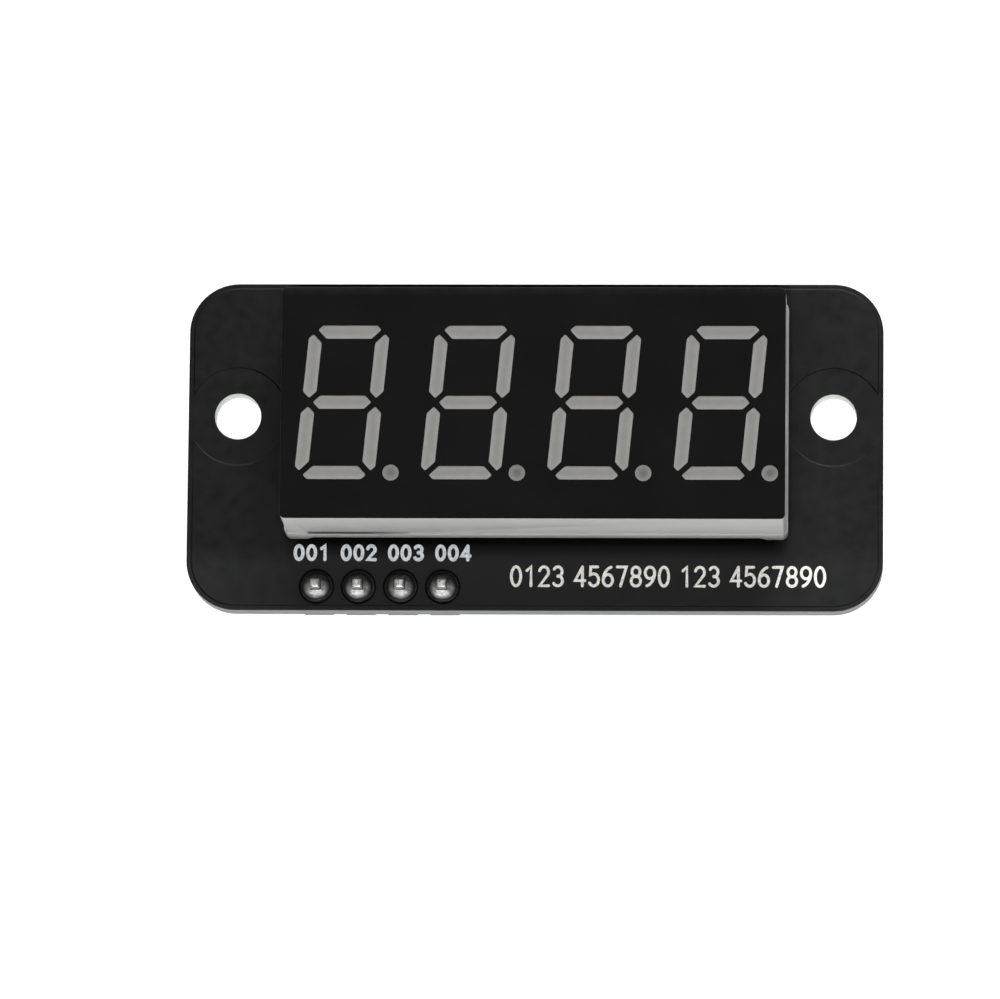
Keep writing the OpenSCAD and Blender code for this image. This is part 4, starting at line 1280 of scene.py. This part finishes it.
class MakeTracks(bpy.types.Operator):
    """Raises the rear mask over copper tracks and vias"""
    bl_idname = "display_module.make_tracks"
    bl_label = "Tracks"

    def execute(self, context):
        sizes = context.scene.module_sizes
        mesh = bmesh.new()
        high, low = 0.004 * MM, -sizes.track_height
        vias = []

        def track(*places, wide=1.0):
            path = [Vector(place) for place in places]
            ribbon(mesh, path, sizes.track_width * wide, low, high)

        def leaned(start, end, share):
            """From start to end along y, with the sideways part of the way between two straight parts"""
            jump = (end.y - start.y) * share
            return start, Vector((start.x, start.y + jump)), Vector((end.x, end.y - jump)), end

        leads, chip_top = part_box("chip_leads")
        pins, pins_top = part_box("display_pins")
        pad = (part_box("display_solder")[1].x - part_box("display_solder")[0].x - (pins_top.x - pins.x)) / 2 + 0.25 * MM
        lead_pitch = (chip_top.x - leads.x - 0.4 * MM) / 7
        pin_pitch = (pins_top.x - pins.x - 0.5 * MM) / 5
        for row, (edge, target) in enumerate(((chip_top.y + 0.35 * MM, pins_top.y - 0.25 * MM - pad + 0.1 * MM),
                                              (leads.y - 0.35 * MM, pins.y + 0.25 * MM + pad - 0.1 * MM))):
            for lead, pin in ((0, 0), (1, 1), (2, 2), (4, 3), (6, 4), (7, 5)):
                start = Vector((leads.x + 0.2 * MM + lead * lead_pitch, edge))
                end = Vector((pins.x + 0.25 * MM + pin * pin_pitch, target))
                track(*leaned(start, end, 0.12))
            for lead, side in ((3, 1.0), (5, -0.55)):
                start = Vector((leads.x + 0.2 * MM + lead * lead_pitch, edge))
                stop = start + Vector((side * 0.45 * MM, (0.62 if row == 0 else -0.62) * MM))
                track(start, stop)
                vias.append(stop)

        def part(node, end):
            """Place just past a small part's pad, on its upper or lower end"""
            middle = centre_of(node)
            return Vector((middle.x, middle.y + end * 1.45 * MM))

        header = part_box("header_body")[1].y
        for node, number, via in (("clock_resistor", 3, Vector((1.5, 1.9))), ("data_resistor", 2, Vector((0.9, 2.6)))):
            pin = centre_of(f"header_pin_{number}")
            low_end, high_end = part(node, -1), part(node, 1)
            bend = abs(low_end.x - pin.x)
            track(Vector((pin.x, header + 0.1 * MM)), Vector((pin.x, header + 0.5 * MM)),
                  Vector((low_end.x, header + 0.5 * MM + bend)), low_end)
            stop = high_end + via * MM
            track(high_end, Vector((high_end.x, stop.y - (stop.x - high_end.x))), stop)
            vias.append(stop)
        pin = centre_of("header_pin_4")
        stop = Vector((-7.75 * MM, header + 6.2 * MM))
        track(Vector((pin.x, header + 0.1 * MM)), Vector((pin.x, header + 0.35 * MM)),
              Vector((stop.x, header + 0.35 * MM + pin.x - stop.x)), stop)
        vias.append(stop)
        low_one, low_two = part("filter_capacitor", -1), part("supply_capacitor", -1.1)
        level = low_two.y - 0.9 * MM
        track(low_one, Vector((low_one.x, level + 0.6 * MM)), Vector((low_one.x + 0.6 * MM, level)),
              Vector((low_two.x - 0.6 * MM, level)), Vector((low_two.x, level + 0.6 * MM)), low_two, wide=1.7)
        high_one, high_two = part("filter_capacitor", 1), part("supply_capacitor", 1.1)
        for start, side in ((high_one, -1.0), (high_two, 1.0)):
            stop = start + Vector((side * 0.9, 1.9)) * MM
            track(start, Vector((start.x, stop.y - 0.9 * MM)), stop, wide=1.4)
            vias.append(stop)
        board_low, board_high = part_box("rear_solder_mask")
        for x, y in ((-16.4, 5.6), (-13.0, 5.9), (13.2, 5.7), (16.3, -6.2), (10.6, -9.3), (2.2, -9.6), (-16.8, -6.9)):
            vias.append(Vector((x * MM, board_high.y + (y - 8.15) * MM)))
        radius = sizes.via_radius
        for place in vias:
            dish = turned([(0.0, high), (radius, high), (0.97 * radius, low * 0.7), (0.82 * radius, low * 1.15),
                           (0.5 * radius, low * 1.1), (0.3 * radius, low * 0.5), (0.0, low * 0.4)], 28)
            bmesh.ops.translate(dish, verts=dish.verts[:], vec=(place.x, place.y, 0.0))
            part_mesh = bpy.data.meshes.new("via")
            dish.to_mesh(part_mesh)
            dish.free()
            mesh.from_mesh(part_mesh)
            bpy.data.meshes.remove(part_mesh)
        piece("rear_tracks", outward(mesh), "solder_mask", finish="mask_over_copper", sharp=50.0)
        return {"FINISHED"}


class MakeRearPrint(bpy.types.Operator):
    """Prints the outlines of the parts on the rear, with a few plain numbers"""
    bl_idname = "display_module.make_rear_print"
    bl_label = "Rear print"

    def execute(self, context):
        sizes = context.scene.module_sizes
        ink, wide = sizes.ink_height, sizes.line_width
        mesh = bmesh.new()
        level = -0.002 * MM

        def line(*places):
            ribbon(mesh, [Vector((-x, y)) for x, y in places], wide, level, level + ink)

        def outline(x0, y0, x1, y1):
            rectangle(mesh, (-x1, y0), (-x0, y1), wide, level, level + ink)

        def number(text, x, y, height=1.0):
            digits_on(mesh, text, height * MM, 0.15, 0.9, Vector((-x, y)), level, ink)

        low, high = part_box("driver_chip")
        leads_low, leads_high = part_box("chip_leads")
        gap = 0.35 * MM
        middle = (low.y + high.y) / 2
        for x, side in ((low.x - gap, 1), (high.x + gap, -1)):
            turn = 0.4 * MM * side
            line((x + turn, high.y), (x, high.y), (x, low.y), (x + turn, low.y))
        notch = [(low.x - gap - p.x, p.y) for p in arc(0.0, middle, 0.5 * MM, 0.5 * MM, -90, 90)]
        line(*notch)
        dot = arc(-(low.x - gap), leads_low.y - 0.1 * MM, 0.12 * MM, 0.12 * MM, 0, 360)
        ribbon(mesh, dot, 0.2 * MM, level, level + ink)
        for node in ("clock_resistor", "data_resistor", "filter_capacitor", "supply_capacitor"):
            low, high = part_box(node)
            outline(low.x - 0.32 * MM, low.y - 1.0 * MM, high.x + 0.32 * MM, high.y + 1.0 * MM)
        low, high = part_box("header_body")
        top = high.y + 0.28 * MM
        left, right = low.x - 0.25 * MM, high.x + 0.25 * MM
        line((left, low.y + 0.3 * MM), (left, top), (right, top), (right, low.y + 0.3 * MM))
        step = (high.x - low.x) / 4
        line((low.x + step, high.y + 0.1 * MM), (low.x + step, top + 0.05 * MM))
        for count, text in ((0, "1"), (3, "4")):
            number(text, low.x + (count + 0.5) * step, top + 0.9 * MM, 0.95)
        number("0123", 6.2 * MM, low.y + 1.2 * MM, 1.1)
        for (x, y), text in (((-12.5, -1.9), "1"), ((-7.75, -1.9), "2"), ((7.75, -1.9), "3"), ((13.2, -2.2), "4")):
            number(text, x * MM, y * MM, 0.9)
        bmesh.ops.rotate(mesh, verts=mesh.verts[:], matrix=Matrix.Rotation(math.pi, 3, "Y"))
        piece("rear_print", outward(mesh), "solder_mask", finish="ink", sharp=50.0)
        return {"FINISHED"}


class MakeStage(bpy.types.Operator):
    """Sets the pale floor, the soft lights and the camera"""
    bl_idname = "display_module.make_stage"
    bl_label = "Stage"

    def execute(self, context):
        scene = context.scene
        floor = bpy.data.meshes.new("floor")
        half, depth = 3.0, cad_box[0].z - 0.0002
        floor.from_pydata([(-half, -half, depth), (half, -half, depth), (half, half, depth), (-half, half, depth)],
                          [], [(0, 1, 2, 3)])
        ground = object_of("floor", floor)
        floor.materials.append(finishes["floor"])

        def lamp(name, place, across, power, aim=(0.0, 0.0, 0.0), tint=(1.0, 1.0, 1.0)):
            light = bpy.data.lights.new(name, "AREA")
            light.shape = "RECTANGLE"
            light.size, light.size_y = across
            light.energy = power
            light.color = tint
            made = bpy.data.objects.new(name, light)
            back = (Vector(place) - Vector(aim)).normalized()
            made.matrix_world = Matrix.Translation(place) @ back.to_track_quat("Z", "Y").to_matrix().to_4x4()
            scene.collection.objects.link(made)

        lamp("front_softbox", (0.03, -0.34, 0.58), (0.35, 0.3), 2.65)
        lamp("back_softbox", (0.10, 0.61, 0.46), (0.45, 0.35), 6.0)
        lamp("left_softbox", (-0.70, 0.10, 0.35), (0.4, 0.35), 0.5)
        lamp("right_softbox", (0.70, -0.15, 0.30), (0.4, 0.35), 0.2)

        world = bpy.data.worlds.new("studio")
        world.use_nodes = True
        tree = world.node_tree
        where = tree.nodes.new("ShaderNodeTexCoord")
        parts = tree.nodes.new("ShaderNodeSeparateXYZ")
        ramp = tree.nodes.new("ShaderNodeMapRange")
        ramp.inputs["From Min"].default_value = 0.05
        ramp.inputs["From Max"].default_value = 0.75
        ramp.inputs["To Min"].default_value = 0.5
        ramp.inputs["To Max"].default_value = 0.04
        tree.links.new(where.outputs["Generated"], parts.inputs[0])
        tree.links.new(parts.outputs["Z"], ramp.inputs["Value"])
        tree.links.new(ramp.outputs[0], tree.nodes["Background"].inputs["Strength"])
        tree.nodes["Background"].inputs["Color"].default_value = (1.0, 1.0, 1.0, 1.0)
        scene.world = world
        scene.view_settings.view_transform = "Standard"

        lens = bpy.data.cameras.new("camera")
        lens.sensor_fit = "HORIZONTAL"
        lens.sensor_width = 36.0
        lens.lens = 313.365
        lens.clip_start = 0.01
        lens.clip_end = 20.0
        camera = bpy.data.objects.new("camera", lens)
        right, up, back = ((0.998918, 0.00974, -0.045477), (-0.002091, 0.986244, 0.165283),
                           (0.046461, -0.165009, 0.985197))
        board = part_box("front_solder_mask")[1].z
        place = Vector((22.303, -91.695, 517.228)) * MM + Vector((0.0, 0.0, board))
        camera.matrix_world = Matrix.Translation(place) @ Matrix((right, up, back)).transposed().to_4x4()
        scene.collection.objects.link(camera)
        scene.camera = camera
        return {"FINISHED"}


OPERATORS = (MakeFinishes, MakeBoard, MakeHousing, MakeFace, MakeWindows, MakeDisplayPins, MakeHeader, MakeDriver,
             MakeSmallParts, MakePrint, MakeTracks, MakeRearPrint, MakeStage)


class ModulePanel(bpy.types.Panel):
    """Lists the module's operators, sizes and colours"""
    bl_idname = "VIEW3D_PT_display_module"
    bl_label = "Display module"
    bl_space_type = "VIEW_3D"
    bl_region_type = "UI"
    bl_category = "Display"

    def draw(self, context):
        for operator in OPERATORS:
            self.layout.operator(operator.bl_idname)
        for group in (context.scene.module_sizes, context.scene.module_colours):
            box = self.layout.box()
            for name in group.bl_rna.properties.keys():
                if name not in ("rna_type", "name"):
                    box.prop(group, name)


CLASSES = (ModuleSizes, ModuleColours, *OPERATORS, ModulePanel)


def register():
    for made in CLASSES:
        bpy.utils.register_class(made)
    bpy.types.Scene.module_sizes = PointerProperty(type=ModuleSizes)
    bpy.types.Scene.module_colours = PointerProperty(type=ModuleColours)


def unregister():
    del bpy.types.Scene.module_sizes
    del bpy.types.Scene.module_colours
    for made in reversed(CLASSES):
        bpy.utils.unregister_class(made)


def main():
    register()
    for operator in OPERATORS:
        group, name = operator.bl_idname.split(".")
        getattr(getattr(bpy.ops, group), name)()


if __name__ == "__main__":
    main()
